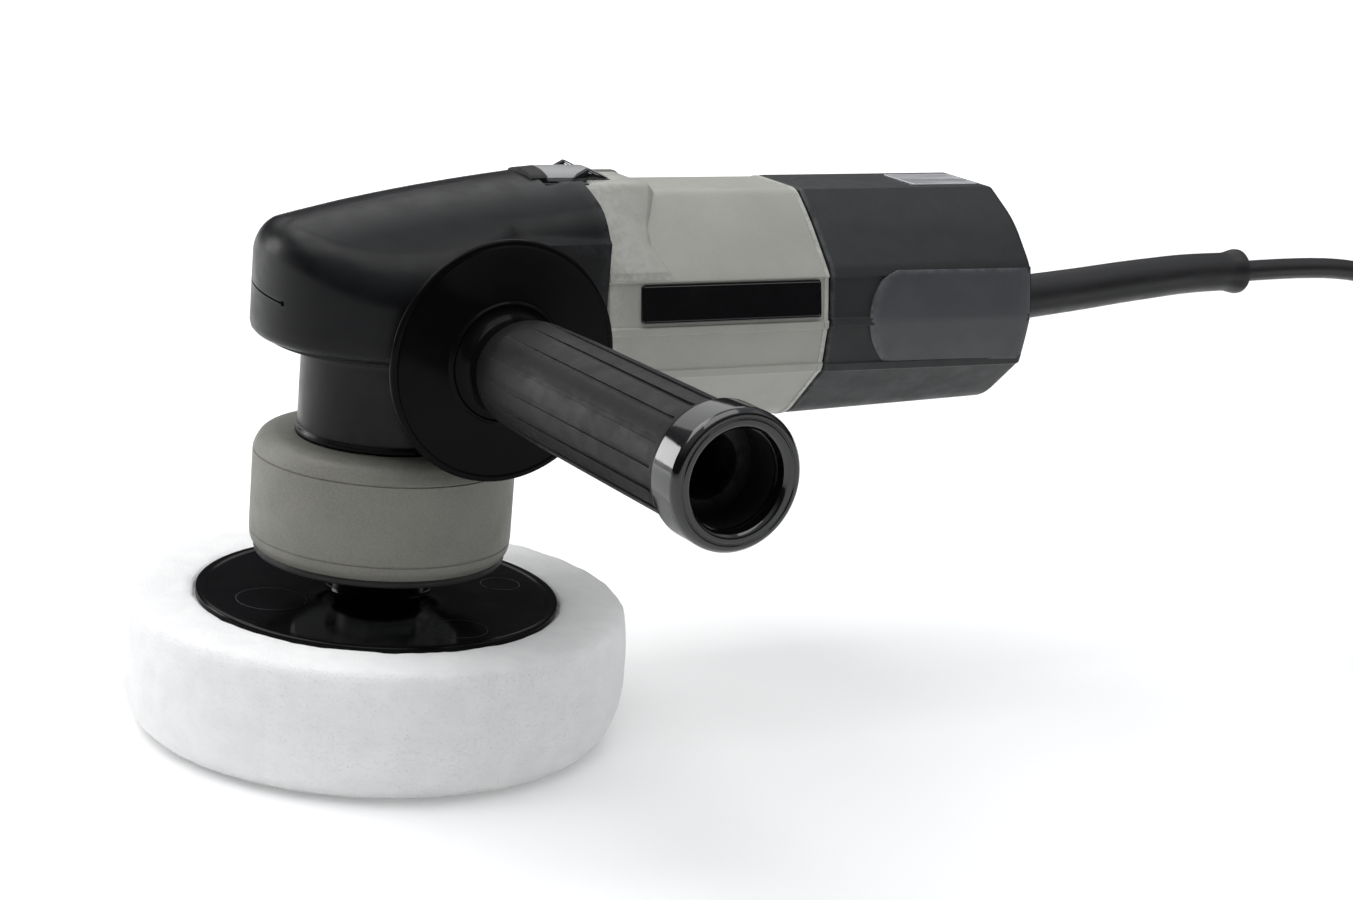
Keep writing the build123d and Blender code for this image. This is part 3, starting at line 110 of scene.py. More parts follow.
class Sheet:
    def __init__(self, tree):
        self.tree = tree

    def node(self, name, settings=None, values=None, out=0):
        made = self.tree.nodes.new(name)
        for key, value in (settings or {}).items():
            if key == "stops":
                while len(made.color_ramp.elements) < len(value):
                    made.color_ramp.elements.new(0.5)
                for element, (place, shade) in zip(made.color_ramp.elements, value):
                    element.position = place
                    element.color = (*shade, 1) if hasattr(shade, "__len__") else (shade, shade, shade, 1)
            else:
                setattr(made, key, value)
        for key, value in (values or {}).items():
            socket = made.inputs[key] if isinstance(key, int) else self.find(made.inputs, key)
            if isinstance(value, Wire):
                self.tree.links.new(value.socket, socket)
            else:
                socket.default_value = value
        socket = made.outputs[out] if isinstance(out, int) else self.find(made.outputs, out)
        return Wire(self, socket)

    def find(self, sockets, key):
        return next(s for s in sockets if key in (s.identifier, s.name))

    def maths(self, operation, *values):
        return self.node("ShaderNodeMath", {"operation": operation}, dict(enumerate(values)))

    def smooth(self, value, low, high, start=0.0, end=1.0):
        settings = {"interpolation_type": "SMOOTHSTEP"}
        values = {"Value": value, "From Min": low, "From Max": high, "To Min": start, "To Max": end}
        return self.node("ShaderNodeMapRange", settings, values, "Result")

    def blend(self, share, first, second, mode="MIX"):
        settings = {"data_type": "RGBA", "blend_type": mode}
        colours = [c if isinstance(c, Wire) else (*c, 1) for c in (first, second)]
        values = {"Factor_Float": share, "A_Color": colours[0], "B_Color": colours[1]}
        return self.node("ShaderNodeMix", settings, values, "Result_Color")

    def split(self, vector):
        return [self.node("ShaderNodeSeparateXYZ", None, {0: vector}, axis) for axis in (0, 1, 2)]

    def place(self, centre=(0, 0, 0), turn=(0, 0, 0), scale=(1, 1, 1)):
        where = self.node("ShaderNodeTexCoord", out="Object")
        if centre == (0, 0, 0) and turn == (0, 0, 0) and scale == (1, 1, 1):
            return where
        middle = tuple(c * mm for c in centre)
        shifted = self.node("ShaderNodeVectorMath", {"operation": "SUBTRACT"}, {0: where, 1: middle})
        return self.node("ShaderNodeMapping", None, {"Vector": shifted, "Rotation": turn, "Scale": scale})

    def noise(self, size, where=None, detail=4.0, rough=0.5, stretch=None):
        vector = where or self.place()
        if stretch:
            vector = self.node("ShaderNodeMapping", None, {"Vector": vector, "Scale": stretch})
        values = {"Vector": vector, "Scale": 1 / (size * mm), "Detail": detail, "Roughness": rough}
        return self.node("ShaderNodeTexNoise", None, values, 0)

    def cells(self, size, feature="F1", where=None):
        values = {"Vector": where or self.place(), "Scale": 1 / (size * mm)}
        return self.node("ShaderNodeTexVoronoi", {"feature": feature}, values, "Distance")

    def bump(self, height, depth, normal=None):
        values = {"Height": height, "Distance": depth * mm, "Strength": 1.0}
        if normal:
            values["Normal"] = normal
        return self.node("ShaderNodeBump", None, values)


finishes = {}


# a finish: its sheet works out what varies, and what is the same all over is set on the shader itself
def finish(name, colour, rough, metal=0.0, bump=None, glow=None, **fixed):
    made = bpy.data.materials.new(name)
    made.use_nodes = True
    tree = made.node_tree
    tree.nodes.clear()
    sheet = Sheet(tree)
    shader = tree.nodes.new("ShaderNodeBsdfPrincipled")
    output = tree.nodes.new("ShaderNodeOutputMaterial")
    tree.links.new(shader.outputs[0], output.inputs[0])
    varied = {"Base Color": colour, "Roughness": rough, "Metallic": metal, "Normal": bump,
              "Emission Color": glow}
    for key, value in varied.items():
        if value is None:
            continue
        wired = value(sheet) if callable(value) else value
        if isinstance(wired, Wire):
            tree.links.new(wired.socket, shader.inputs[key])
        else:
            shader.inputs[key].default_value = (*wired, 1) if hasattr(wired, "__len__") else wired
    for key, value in fixed.items():
        socket = next(s for s in shader.inputs if s.name.replace(" ", "").lower() == key.lower())
        socket.default_value = value
    finishes[name] = made
    return made


# moulded or painted colour: slow mottling, fine speckle, and rubbed edges where a piece marks them
def mottled(base, spread, speckle=0.0, grain=0.5, worn=None):
    def build(s):
        slow = s.noise(18, detail=3)
        low = tuple(c * (1 - spread) for c in base)
        high = tuple(c * (1 + spread) for c in base)
        shade = s.blend(s.smooth(slow, 0.3, 0.7), low, high)
        if speckle:
            fine = s.noise(grain, detail=1)
            shade = s.blend(s.smooth(fine, 0.35, 0.65, 0, speckle), shade, tuple(c * 1.5 for c in base))
        if worn:
            edge = s.node("ShaderNodeAttribute", {"attribute_name": "edgeWear"}, None, "Fac")
            patchy = edge * s.smooth(s.noise(3.5, detail=5, rough=0.7), 0.35, 0.6)
            shade = s.blend(patchy, shade, worn)
        return shade
    return build


def uneven(low, high, size=9.0, streak=None):
    def build(s):
        return s.smooth(s.noise(size, detail=5, rough=0.6, stretch=streak), 0.3, 0.7, low, high)
    return build


def grain(size, depth, dust=0.0):
    def build(s):
        coarse = s.bump(s.noise(size, detail=2, rough=0.6), depth)
        if not dust:
            return coarse
        return s.bump(s.cells(size * 1.8), dust, coarse)
    return build


def pores(s):
    open_ = s.smooth(s.cells(0.95), 0.0, 0.42)
    lumps = s.bump(s.noise(5.5, detail=3), 0.55)
    skin = s.bump(s.noise(0.8, detail=3, rough=0.7), 0.22, lumps)
    return s.bump(open_, 0.16, skin)


def foamShade(s):
    soft = s.noise(9, detail=4)
    shade = s.blend(s.smooth(soft, 0.3, 0.7), (0.88, 0.885, 0.89), (0.93, 0.93, 0.928))
    # the pores are painted darker: painted shade in the foam's open cells
    poreShade = s.smooth(s.cells(0.95), 0.0, 0.25, 0.18, 0.0)
    return s.blend(poreShade, shade, (0.62, 0.63, 0.64))


def scratches(s):
    fine = s.noise(0.5, detail=2, stretch=(0.08, 1, 1))
    return s.bump(fine, 0.006)


def turned(s):
    return s.bump(s.noise(0.35, detail=2, stretch=(0.15, 0.15, 4)), 0.012)


def wound(s):
    x, y, z = s.split(s.place((0, 0, 128)))
    around = s.maths("ARCTAN2", z, y)
    wires = s.maths("SINE", around * 90 + s.noise(6, detail=2) * 3)
    return s.bump(wires, 0.12)


def stacked(s):
    x, y, z = s.split(s.place())
    sheets = s.maths("SINE", x * (2 * math.pi / (0.7 * mm)))
    return s.bump(sheets, 0.03)


def boardShade(s):
    x, y, z = s.split(s.place())
    tracks = s.smooth(s.maths("SINE", z * (2 * math.pi / (3.2 * mm))), 0.6, 0.8)
    return s.blend(tracks, (0.02, 0.09, 0.035), (0.06, 0.2, 0.07))


greyPaint = (0.315, 0.315, 0.285)
castPaint = (0.185, 0.182, 0.16)
darkPlastic = (0.018, 0.0195, 0.02)
ovalPlastic = (0.048, 0.05, 0.055)
black = (0.004, 0.004, 0.0045)

finish("whiteFoam", foamShade, 0.95, bump=pores, SubsurfaceWeight=0.25,
       SubsurfaceRadius=(0.004, 0.004, 0.004),
       SubsurfaceScale=1.0, SheenWeight=0.2)
finish("glossBlack", mottled(black, 0.15), uneven(0.07, 0.16, 14), bump=scratches, CoatWeight=0.35,
       CoatRoughness=0.05)
finish("discBlack", mottled(black, 0.15), uneven(0.1, 0.2, 14), bump=scratches, SpecularIORLevel=0.05)
finish("plateBlack", mottled(black, 0.15), uneven(0.08, 0.16, 14), bump=scratches, SpecularIORLevel=0.1)
finish("bootRubber", mottled((0.0045, 0.0048, 0.0055), 0.18, 0.25, 0.35, worn=(0.02, 0.021, 0.023)),
       uneven(0.3, 0.4, 7), bump=grain(0.32, 0.012), SpecularIORLevel=0.16)
finish("greyShell", mottled(greyPaint, 0.045, 0.1, 0.45, worn=(0.44, 0.44, 0.41)),
       uneven(0.42, 0.54, 10), bump=grain(0.42, 0.013))
finish("castShroud", mottled(castPaint, 0.06, 0.28, 0.6, worn=(0.34, 0.34, 0.31)),
       uneven(0.48, 0.62, 8), bump=grain(0.7, 0.055, 0.03))
finish("darkShell", mottled(darkPlastic, 0.08, 0.22, 0.4, worn=(0.065, 0.067, 0.07)),
       uneven(0.46, 0.6, 8), bump=grain(0.38, 0.02), SpecularIORLevel=0.3)
finish("thumbPatch", mottled(ovalPlastic, 0.06, 0.1, 0.4, worn=(0.1, 0.1, 0.11)),
       uneven(0.4, 0.55, 6), bump=grain(0.55, 0.008))
finish("neckEnamel", mottled((0.006, 0.006, 0.0065), 0.15, 0.2, 0.5), uneven(0.26, 0.4, 8),
       bump=grain(0.6, 0.018),
       SpecularIORLevel=0.2)
finish("gripPlastic", mottled((0.009, 0.009, 0.0095), 0.12, 0.25, 0.3, worn=(0.03, 0.03, 0.032)),
       uneven(0.4, 0.54, 6), bump=grain(0.3, 0.02), SpecularIORLevel=0.2)
finish("sliderPlastic", mottled((0.27, 0.275, 0.28), 0.05, 0.08, 0.4), uneven(0.36, 0.46, 5),
       bump=grain(0.3, 0.008))
finish("insidePlastic", mottled((0.009, 0.009, 0.0095), 0.1, 0.15, 0.5), uneven(0.5, 0.65, 6),
       bump=grain(0.5, 0.02),
       SpecularIORLevel=0.3)
finish("cordRubber", mottled((0.011, 0.011, 0.012), 0.14, 0.15, 0.4), uneven(0.36, 0.52, 9),
       bump=grain(0.5, 0.012),
       SpecularIORLevel=0.4)
finish("sealRubber", mottled((0.008, 0.008, 0.008), 0.15, 0.1, 0.5), uneven(0.55, 0.7, 5),
       bump=grain(0.4, 0.02))
finish("foil", mottled((0.66, 0.67, 0.69), 0.05, 0.1, 0.5), uneven(0.26, 0.4, 5, (0.1, 1, 1)), metal=0.75,
       bump=grain(0.6, 0.005))
finish("brushedSteel", mottled((0.5, 0.5, 0.51), 0.06), uneven(0.24, 0.38, 3, (0.1, 0.1, 3)), metal=1.0,
       bump=turned)
finish("bearingSteel", mottled((0.62, 0.62, 0.63), 0.04), uneven(0.12, 0.24, 4), metal=1.0, bump=turned)
finish("gearSteel", mottled((0.34, 0.34, 0.35), 0.1, 0.1), uneven(0.26, 0.42, 3), metal=1.0,
       bump=grain(0.4, 0.01))
finish("coverCasting", mottled((0.42, 0.43, 0.44), 0.06, 0.2, 0.6), uneven(0.42, 0.58, 4), metal=0.9,
       bump=grain(0.8, 0.05, 0.02))
finish("coreSteel", mottled((0.2, 0.2, 0.21), 0.1), uneven(0.35, 0.5, 4), metal=0.9, bump=stacked)
finish("copperWinding", mottled((0.46, 0.16, 0.06), 0.15, 0.2, 0.8), uneven(0.22, 0.4, 4), metal=0.85,
       bump=wound)
finish("carbonBlock", mottled((0.018, 0.018, 0.019), 0.15, 0.3, 0.6), uneven(0.5, 0.7, 3),
       bump=grain(0.5, 0.02))
finish("brassMetal", mottled((0.62, 0.44, 0.18), 0.07, 0.1), uneven(0.18, 0.34, 3, (0.2, 1, 1)), metal=1.0,
       bump=scratches)
finish("circuitBoard", boardShade, uneven(0.35, 0.5, 5), bump=grain(0.8, 0.01))

slotFinish = {
    "foam": "whiteFoam", "black_gloss": "glossBlack", "steel": "brushedSteel",
    "bearing_steel": "bearingSteel",
    "black_case": "neckEnamel", "cast_cover": "coverCasting", "boot_rubber": "bootRubber",
    "grey_plastic": "greyShell", "shroud_plastic": "castShroud", "seal_rubber": "sealRubber",
    "dark_plastic": "darkShell", "grip_plastic": "gripPlastic", "slider_grey": "sliderPlastic",
    "inner_plastic": "insidePlastic", "plate_black": "glossBlack", "label_silver": "foil",
    "core_steel": "coreSteel", "winding_copper": "copperWinding", "carbon": "carbonBlock",
    "brass": "brassMetal", "cord_rubber": "cordRubber", "gear_steel": "gearSteel", "board": "circuitBoard",
}
for piece in nodes.values():
    for place in piece.material_slots:
        name = place.material.name.split(".")[0] if place.material else "inner_plastic"
        place.material = finishes[slotFinish.get(name, "insidePlastic")]
print("finishes made:", len(finishes))


# a mesh piece from points in millimetres and faces, with one finish or several
def makePiece(name, points, faces, looks, angle=35, marks=None):
    mesh = bpy.data.meshes.new(name)
    mesh.from_pydata([(x * mm, y * mm, z * mm) for x, y, z in points], [], faces)
    for look in [looks] if isinstance(looks, str) else looks:
        mesh.materials.append(finishes[look])
    if marks:
        mesh.polygons.foreach_set("material_index", marks)
    piece = bpy.data.objects.new(name, mesh)
    bpy.context.scene.collection.objects.link(piece)
    work = bmesh.new()
    work.from_mesh(mesh)
    bmesh.ops.remove_doubles(work, verts=work.verts, dist=2e-6)
    bmesh.ops.dissolve_degenerate(work, edges=work.edges, dist=1e-7)
    bmesh.ops.recalc_face_normals(work, faces=work.faces)
    work.to_mesh(mesh)
    work.free()
    soften(mesh, angle)
    return piece


def soften(mesh, angle):
    mesh.shade_smooth()
    mesh.set_sharp_from_angle(angle=math.radians(angle))


# quads between rows of points; a row may close on itself, and either end may be filled
def skin(rows, ring=True, start=False, end=False):
    count = len(rows[0])
    points = [p for row in rows for p in row]
    faces = []
    last = count if ring else count - 1
    for r in range(len(rows) - 1):
        for c in range(last):
            a, b = r * count + c, r * count + (c + 1) % count
            faces.append((a, b, b + count, a + count))
    if start:
        faces.append(tuple(range(count))[::-1])
    if end:
        faces.append(tuple(range((len(rows) - 1) * count, len(rows) * count)))
    return points, faces


# a profile of (distance from the axis, place along it), turned about an axis through a point
def lathe(profile, middle, axis="Z", steps=192):
    rows = []
    for radius, along in profile:
        row = []
        for k in range(steps):
            turn = 2 * math.pi * k / steps
            u, v = radius * math.cos(turn), radius * math.sin(turn)
            if axis == "Z":
                row.append((middle[0] + u, middle[1] + v, middle[2] + along))
            elif axis == "X":
                row.append((middle[0] + along, middle[1] + u, middle[2] + v))
            else:
                row.append((middle[0] + u, middle[1] - along, middle[2] + v))
        rows.append(row)
    return skin(rows)


# a profile's corner points with the corners rounded; each corner is (radius, along, rounding)
def rounded(corners, steps=6):
    out = []
    for k, (r, a, bend) in enumerate(corners):
        if not bend or k in (0, len(corners) - 1):
            out.append((r, a))
            continue
        here = Vector((r, a))
        before = Vector(corners[k - 1][:2])
        after = Vector(corners[k + 1][:2])
        first, second = (before - here), (after - here)
        reach = min(bend, first.length * 0.49, second.length * 0.49)
        start = here + first.normalized() * reach
        stopAt = here + second.normalized() * reach
        for j in range(steps + 1):
            t = j / steps
            p = start * (1 - t) ** 2 + here * 2 * t * (1 - t) + stopAt * t ** 2
            out.append((p.x, p.y))
    return out


# marks how sharp each point's corner is, which the finishes read as rubbed edges
def markEdges(piece, low=0.25, high=0.9):
    mesh = piece.data
    work = bmesh.new()
    work.from_mesh(mesh)
    values = []
    for vert in work.verts:
        bends = [e.calc_face_angle_signed(0.0) for e in vert.link_edges if len(e.link_faces) == 2]
        sharpest = max(bends, default=0.0)
        values.append(min(max((sharpest - low) / (high - low), 0.0), 1.0))
    work.free()
    layer = mesh.attributes.new("edgeWear", "FLOAT", "POINT")
    layer.data.foreach_set("value", values)


def settle(piece, body, slot, *replaced):
    markEdges(piece)
    if replaced:
        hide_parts(*replaced)
    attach(piece, body)
    return piece


# the mesh that a piece's modifiers make, in place of the piece's own
def applyShape(piece, angle=35):
    graph = bpy.context.evaluated_depsgraph_get()
    made = bpy.data.meshes.new_from_object(piece.evaluated_get(graph))
    piece.modifiers.clear()
    old = piece.data
    piece.data = made
    bpy.data.meshes.remove(old)
    soften(made, angle)
    return piece


# a Geometry Nodes tree with named inputs; draw(sheet, wires) returns the geometry that it ends in
def shapeTree(name, inputs, draw):
    tree = bpy.data.node_groups.new(name, "GeometryNodeTree")
    tree.interface.new_socket("Geometry", in_out="INPUT", socket_type="NodeSocketGeometry")
    tree.interface.new_socket("Geometry", in_out="OUTPUT", socket_type="NodeSocketGeometry")
    for key, start in inputs.items():
        kind = "NodeSocketInt" if isinstance(start, int) else "NodeSocketFloat"
        if isinstance(start, str):
            kind = "NodeSocketObject" if start == "object" else "NodeSocketMaterial"
        socket = tree.interface.new_socket(key, in_out="INPUT", socket_type=kind)
        if not isinstance(start, str):
            socket.default_value = start
    sheet = Sheet(tree)
    entry = tree.nodes.new("NodeGroupInput")
    wires = {s.name: Wire(sheet, s) for s in entry.outputs if s.name}
    ending = tree.nodes.new("NodeGroupOutput")
    tree.links.new(draw(sheet, wires).socket, ending.inputs[0])
    return tree


def useTree(piece, tree, values):
    shape = piece.modifiers.new(tree.name, "NODES")
    shape.node_group = tree
    for socket in tree.interface.items_tree:
        if socket.name in values and socket.in_out == "INPUT":
            shape[socket.identifier] = values[socket.name]
    bpy.context.view_layer.update()
    return applyShape(piece)


# ends every tree: instances made real, with one finish
def closing(sheet, geometry, material):
    real = sheet.node("GeometryNodeRealizeInstances", None, {0: geometry})
    return sheet.node("GeometryNodeSetMaterial", None, {"Geometry": real, "Material": material})


# the mains lead: straight out of its sleeve, down to the bench, wound flat, and off the coil to its plug
lead = {
    "radius": 3.6,
    "route": [
        (323.89, 0, 131.2), (351, 0, 132.1), (379, -0.5, 130.8), (402, -2, 125), (421, -6, 113.5),
        (437, -13, 95), (449, -23, 72), (456.5, -35, 48), (460.5, -50, 26.5), (462.6, -69, 11),
        (463, -92, 5),
    ],
    "tail": [(388.5, -147.25, 11.1), (375.5, -147.05, 10.1), (363, -146.65, 9)],
    "coilMiddle": (401.5, -92.0),
    # turn reached in degrees, distance from the coil's middle, height
    "turns": [
        (-12, 60.4, 4.0), (-24, 58.6, 3.7), (-66, 54.65, 3.7), (-270, 54.65, 3.7), (-360, 47.35, 3.7),
        (-630, 47.35, 3.7), (-720, 40.05, 3.7), (-990, 40.05, 3.7), (-1080, 32.75, 3.7),
        (-1260, 32.75, 3.7),
        (-1350, 32.75, 11.05), (-1530, 32.75, 11.05), (-1620, 40.05, 11.05), (-1890, 40.05, 11.05),
        (-1980, 47.35, 11.05), (-2250, 47.35, 11.05), (-2340, 54.65, 11.05), (-2610, 54.65, 11.05),
    ],
    "step": 15,
    "firstStep": 12,
    "tieLift": 1.0,
    "tieSpread": 24,  # degrees either side of the tie that it lifts
    "cornerCut": 0.19,  # how far the smooth curve falls inside its own corners
}


def coilPoints():
    points = []
    cx, cy = lead["coilMiddle"]
    first, last = lead["turns"][0][0], lead["turns"][-1][0]
    turn = first
    while turn >= last:
        pairs = zip(lead["turns"], lead["turns"][1:])
        a, b = next((p, q) for p, q in pairs if p[0] >= turn >= q[0])
        t = (turn - a[0]) / (b[0] - a[0])
        t = t * t * (3 - 2 * t)
        radius = a[1] + (b[1] - a[1]) * t
        height = a[2] + (b[2] - a[2]) * t
        nearTie = (turn % 360) - 90
        height += lead["tieLift"] * math.exp(-(nearTie / lead["tieSpread"]) ** 2)
        radius /= 1 - (1 - math.cos(math.radians(lead["step"]))) * lead["cornerCut"]
        angle = math.radians(turn)
        points.append((cx + radius * math.cos(angle), cy + radius * math.sin(angle), height))
        turn -= lead["step"] if turn < first else lead["firstStep"]
    return points


def makeLead():
    curve = bpy.data.curves.new("mainsLead", "CURVE")
    curve.dimensions = "3D"
    points = lead["route"] + coilPoints() + lead["tail"]
    line = curve.splines.new("NURBS")
    line.points.add(len(points) - 1)
    for point, (x, y, z) in zip(line.points, points):
        point.co = (x * mm, y * mm, z * mm, 1)
    line.order_u = 3
    line.use_endpoint_u = True
    line.resolution_u = 5
    curve.bevel_depth = lead["radius"] * mm
    curve.bevel_resolution = 5
    curve.use_fill_caps = True
    curve.materials.append(finishes["cordRubber"])
    piece = bpy.data.objects.new("mainsLead", curve)
    bpy.context.scene.collection.objects.link(piece)
    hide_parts("power_cord", "cord_coil", "cord_tail")
    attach(piece, "housing")
    return piece


def leadLength(piece):
    bare = piece.data.copy()
    bare.bevel_depth = 0
    probe = bpy.data.objects.new("probe", bare)
    mesh = bpy.data.meshes.new_from_object(probe)
    total = sum((mesh.vertices[a].co - mesh.vertices[b].co).length for a,
                b in (e.vertices for e in mesh.edges))
    bpy.data.objects.remove(probe)
    return total


mainsLead = makeLead()
print("lead length", round(leadLength(mainsLead), 3))

# the tie: a moulded strap round the turns, with a ribbed band
tie = {"width": 12.0, "wall": 1.1, "low": 0.05, "high": 16.6, "inner": -63.2, "outer": -33.4,
       "corner": 5.0, "x": 401.5}


def makeTie():
    rows = []
    for k in range(25):
        share = k / 24
        x = tie["x"] + tie["width"] * (share - 0.5)
        ridge = 0.25 * (1 - math.cos(share * 12 * math.pi)) / 2 if 0.08 < share < 0.92 else -0.15
        rows.append([(x, *p) for p in roundedBox(tie["inner"], tie["outer"], tie["low"], tie["high"],
                                                 tie["corner"], ridge, 0.0)])
    inner = []
    for k in (24, 0):
        x = tie["x"] + tie["width"] * (k / 24 - 0.5)
        inner.append([(x, *p) for p in roundedBox(tie["inner"], tie["outer"], tie["low"], tie["high"],
                                                  tie["corner"], -tie["wall"], 0.75)])
    points, faces = skin(rows + inner + rows[:1])
    strap = makePiece("coilStrap", points, faces, "sealRubber")
    return settle(strap, "housing", "seal_rubber", "coil_tie")


# a rectangle with round corners, grown outwards; its lowest side never sinks below the floor
def roundedBox(left, right, low, high, corner, grow, lift):
    out = []
    for cx, cz, start in ((right - corner, high - corner, 0), (left + corner, high - corner, 90),
                          (left + corner, low + corner, 180), (right - corner, low + corner, 270)):
        for k in range(9):
            turn = math.radians(start + 90 * k / 8)
            radius = corner + grow
            z = cz + radius * math.sin(turn)
            out.append((cx + radius * math.cos(turn), max(z, low + lift)))
    return out


coilStrap = makeTie()

plug = {"start": 363.0, "y": -146.65, "z": 9.0}


def makePlug():
    stations = [
        (-6, 4.3, 4.3), (-2, 4.7, 4.7), (0, 6.5, 6.0), (3, 6.9, 6.2), (8, 7.4, 6.5), (14, 8.4, 7.0),
        (19, 9.8, 7.6), (24, 11.2, 8.1), (29, 11.9, 8.4), (32.6, 12.0, 8.5), (33.7, 11.6, 8.1),
        (34, 10.9, 7.4),
    ]
    rows = []
    for k in range(97):
        along = -6 + 40 * k / 96
        a, b = next((p, q) for p, q in zip(stations, stations[1:]) if p[0] <= along <= q[0] + 1e-9)
        t = (along - a[0]) / (b[0] - a[0])
        half, tall = a[1] + (b[1] - a[1]) * t, a[2] + (b[2] - a[2]) * t
        ribbed = 0.45 * (0.5 - 0.5 * math.cos((along - 10) / 3.2 * 2 * math.pi)) if 10 < along < 26 else 0.0
        row = []
        for j in range(48):
            turn = 2 * math.pi * j / 48
            c, s = math.cos(turn), math.sin(turn)
            power = 0.55 if along > 1 else 1.0
            y = math.copysign(abs(c) ** power, c) * (half - ribbed * abs(c) ** 6)
            z = math.copysign(abs(s) ** power, s) * tall
            row.append((plug["start"] - along, plug["y"] + y, plug["z"] + z))
        rows.append(row)
    points, faces = skin(rows, start=True, end=True)
    body = makePiece("plugBody", points, faces, "cordRubber", 50)
    return settle(body, "housing", "cord_rubber", "plug_body")


plugBody = makePlug()
round(leadLength(mainsLead), 2)
print("lead, strap and plug made")

# the foam pad: crowned, with a rolled lower edge and an upper edge that swells a little past the plate
pad = {
    "middle": (2.096, 3.407, 0),
    "profile": [
        (0, 0.15), (30, 0.12), (52, 0.05), (62, 0.02), (66.4, 0.1), (68.9, 0.95), (70.9, 2.4), (72.6, 4.8),
        (74.0, 7.8), (75.2, 11.6), (75.95, 15.5), (76.2, 19.5), (76.15, 24), (75.95, 29), (75.6, 33.5),
        (75.25, 36.6),
        (74.7, 38.5), (73.7, 39.6), (72.3, 40.05), (68.5, 40.2), (63, 40.15), (58.5, 40.15), (56.2, 40.0),
        (55.2, 39.5), (54.9, 38.6), (54.7, 38.05), (50, 38.0), (20, 38.0), (0, 38.0),
    ],
    "around": 300,
}


def makePad():
    dense = []
    for (r0, z0), (r1, z1) in zip(pad["profile"], pad["profile"][1:]):
        parts = max(1, round(math.hypot(r1 - r0, z1 - z0) / 2.4))
        dense += [(r0 + (r1 - r0) * k / parts, z0 + (z1 - z0) * k / parts) for k in range(parts)]
    dense.append(pad["profile"][-1])
    points, faces = lathe(dense, pad["middle"], steps=pad["around"])
    foam = makePiece("foamPad", points, faces, "whiteFoam", 70)
    cut = bpy.data.textures.new("foamCut", "CLOUDS")
    cut.noise_scale = 0.006
    rough = foam.modifiers.new("cutSurface", "DISPLACE")
    rough.texture = cut
    rough.texture_coords = "LOCAL"
    rough.strength = 0.0007
    rough.mid_level = 0.55
    applyShape(foam, 70)
    for vert in foam.data.vertices:
        vert.co.z = max(vert.co.z, 0.00002)
    settle(foam, "pad", "foam", "foam_pad")
    return foam


makePad()

# the backing plate: glossy disc with a stepped rim, moulded rings from the ejector pins, and a hub
plate = {
    "profile": [
        (0, 38.05, 0), (52.5, 38.05, 0.3), (54.3, 38.3, 0.4), (54.5, 39.3, 0.3), (54.4, 40.6, 0.5),
        (53.5, 41.0, 0.4),
        (51.5, 41.0, 0.4), (50.9, 40.7, 0.3), (20.5, 40.7, 2.0), (15.2, 41.4, 1.5), (14.1, 46.0, 0.6),
        (13.4, 46.4, 0.4), (4.1, 46.4, 0.3), (4.0, 40.0, 0),
    ],
    "rings": [((-32.2, 3.8), 10.4), ((41.2, -1.1), 6.0), ((6.0, 43.0), 8.0), ((10.0, -37.0), 8.0)],
}


def makePlate():
    points, faces = lathe(rounded(plate["profile"]), pad["middle"], steps=240)
    disc = makePiece("backingPlate", points, faces, "plateBlack", 40)
    settle(disc, "pad", "black_gloss", "backing_plate")
    for k, ((x, y), radius) in enumerate(plate["rings"]):
        section = [(radius - 0.16, 40.6), (radius - 0.16, 40.74), (radius - 0.1, 40.79),
                   (radius + 0.1, 40.79),
                   (radius + 0.16, 40.74), (radius + 0.16, 40.6), (radius - 0.16, 40.6)]
        points, faces = lathe(section, (x, y, 0), steps=72)
        settle(makePiece(f"plateRing{k + 1}", points, faces, "sealRubber"), "pad", "black_gloss")


makePlate()
print("pad and plate made")

# the shroud: painted ring with a rolled top, a parting groove near the foot and a lighter lip
shroud = {
    "profile": [
        (26.6, 88.2, 0), (26.6, 90.6, 0.3), (33.4, 90.75, 1.5), (36.7, 89.7, 1.8), (38.35, 86.6, 1.6),
        (38.8, 85.2, 0.15), (38.45, 85.05, 0.1), (38.45, 84.8, 0.1), (38.85, 84.65, 0.15), (38.85, 72, 0),
        (38.85, 61.2, 0.15), (38.5, 61.0, 0.1), (38.5, 60.75, 0.1), (38.75, 60.55, 0.15),
        (38.55, 58.4, 1.4),
        (37.4, 56.6, 0.9), (36.6, 56.1, 0.2), (36.1, 56.2, 0.2), (36.1, 87.0, 1.2), (26.6, 88.2, 0),
    ],
    "seal": [(36.0, 58.2, 0), (37.0, 56.3, 0.2), (37.35, 55.5, 0.5), (37.0, 54.3, 0.5),
             (36.2, 54.05, 0.3), (34.6, 54.2, 0.3),
             (34.5, 55.6, 0.3), (35.6, 56.4, 0.2), (35.4, 58.2, 0), (36.0, 58.2, 0)],
}
points, faces = lathe(rounded(shroud["profile"]), (0, 0, 0), steps=256)
settle(makePiece("shroudRing", points, faces, "castShroud", 30), "housing", "shroud_plastic",
       "counterweight_shroud")
points, faces = lathe(rounded(shroud["seal"]), (0, 0, 0), steps=192)
settle(makePiece("shroudLip", points, faces, "sealRubber", 30), "housing", "seal_rubber", "shroud_seal")

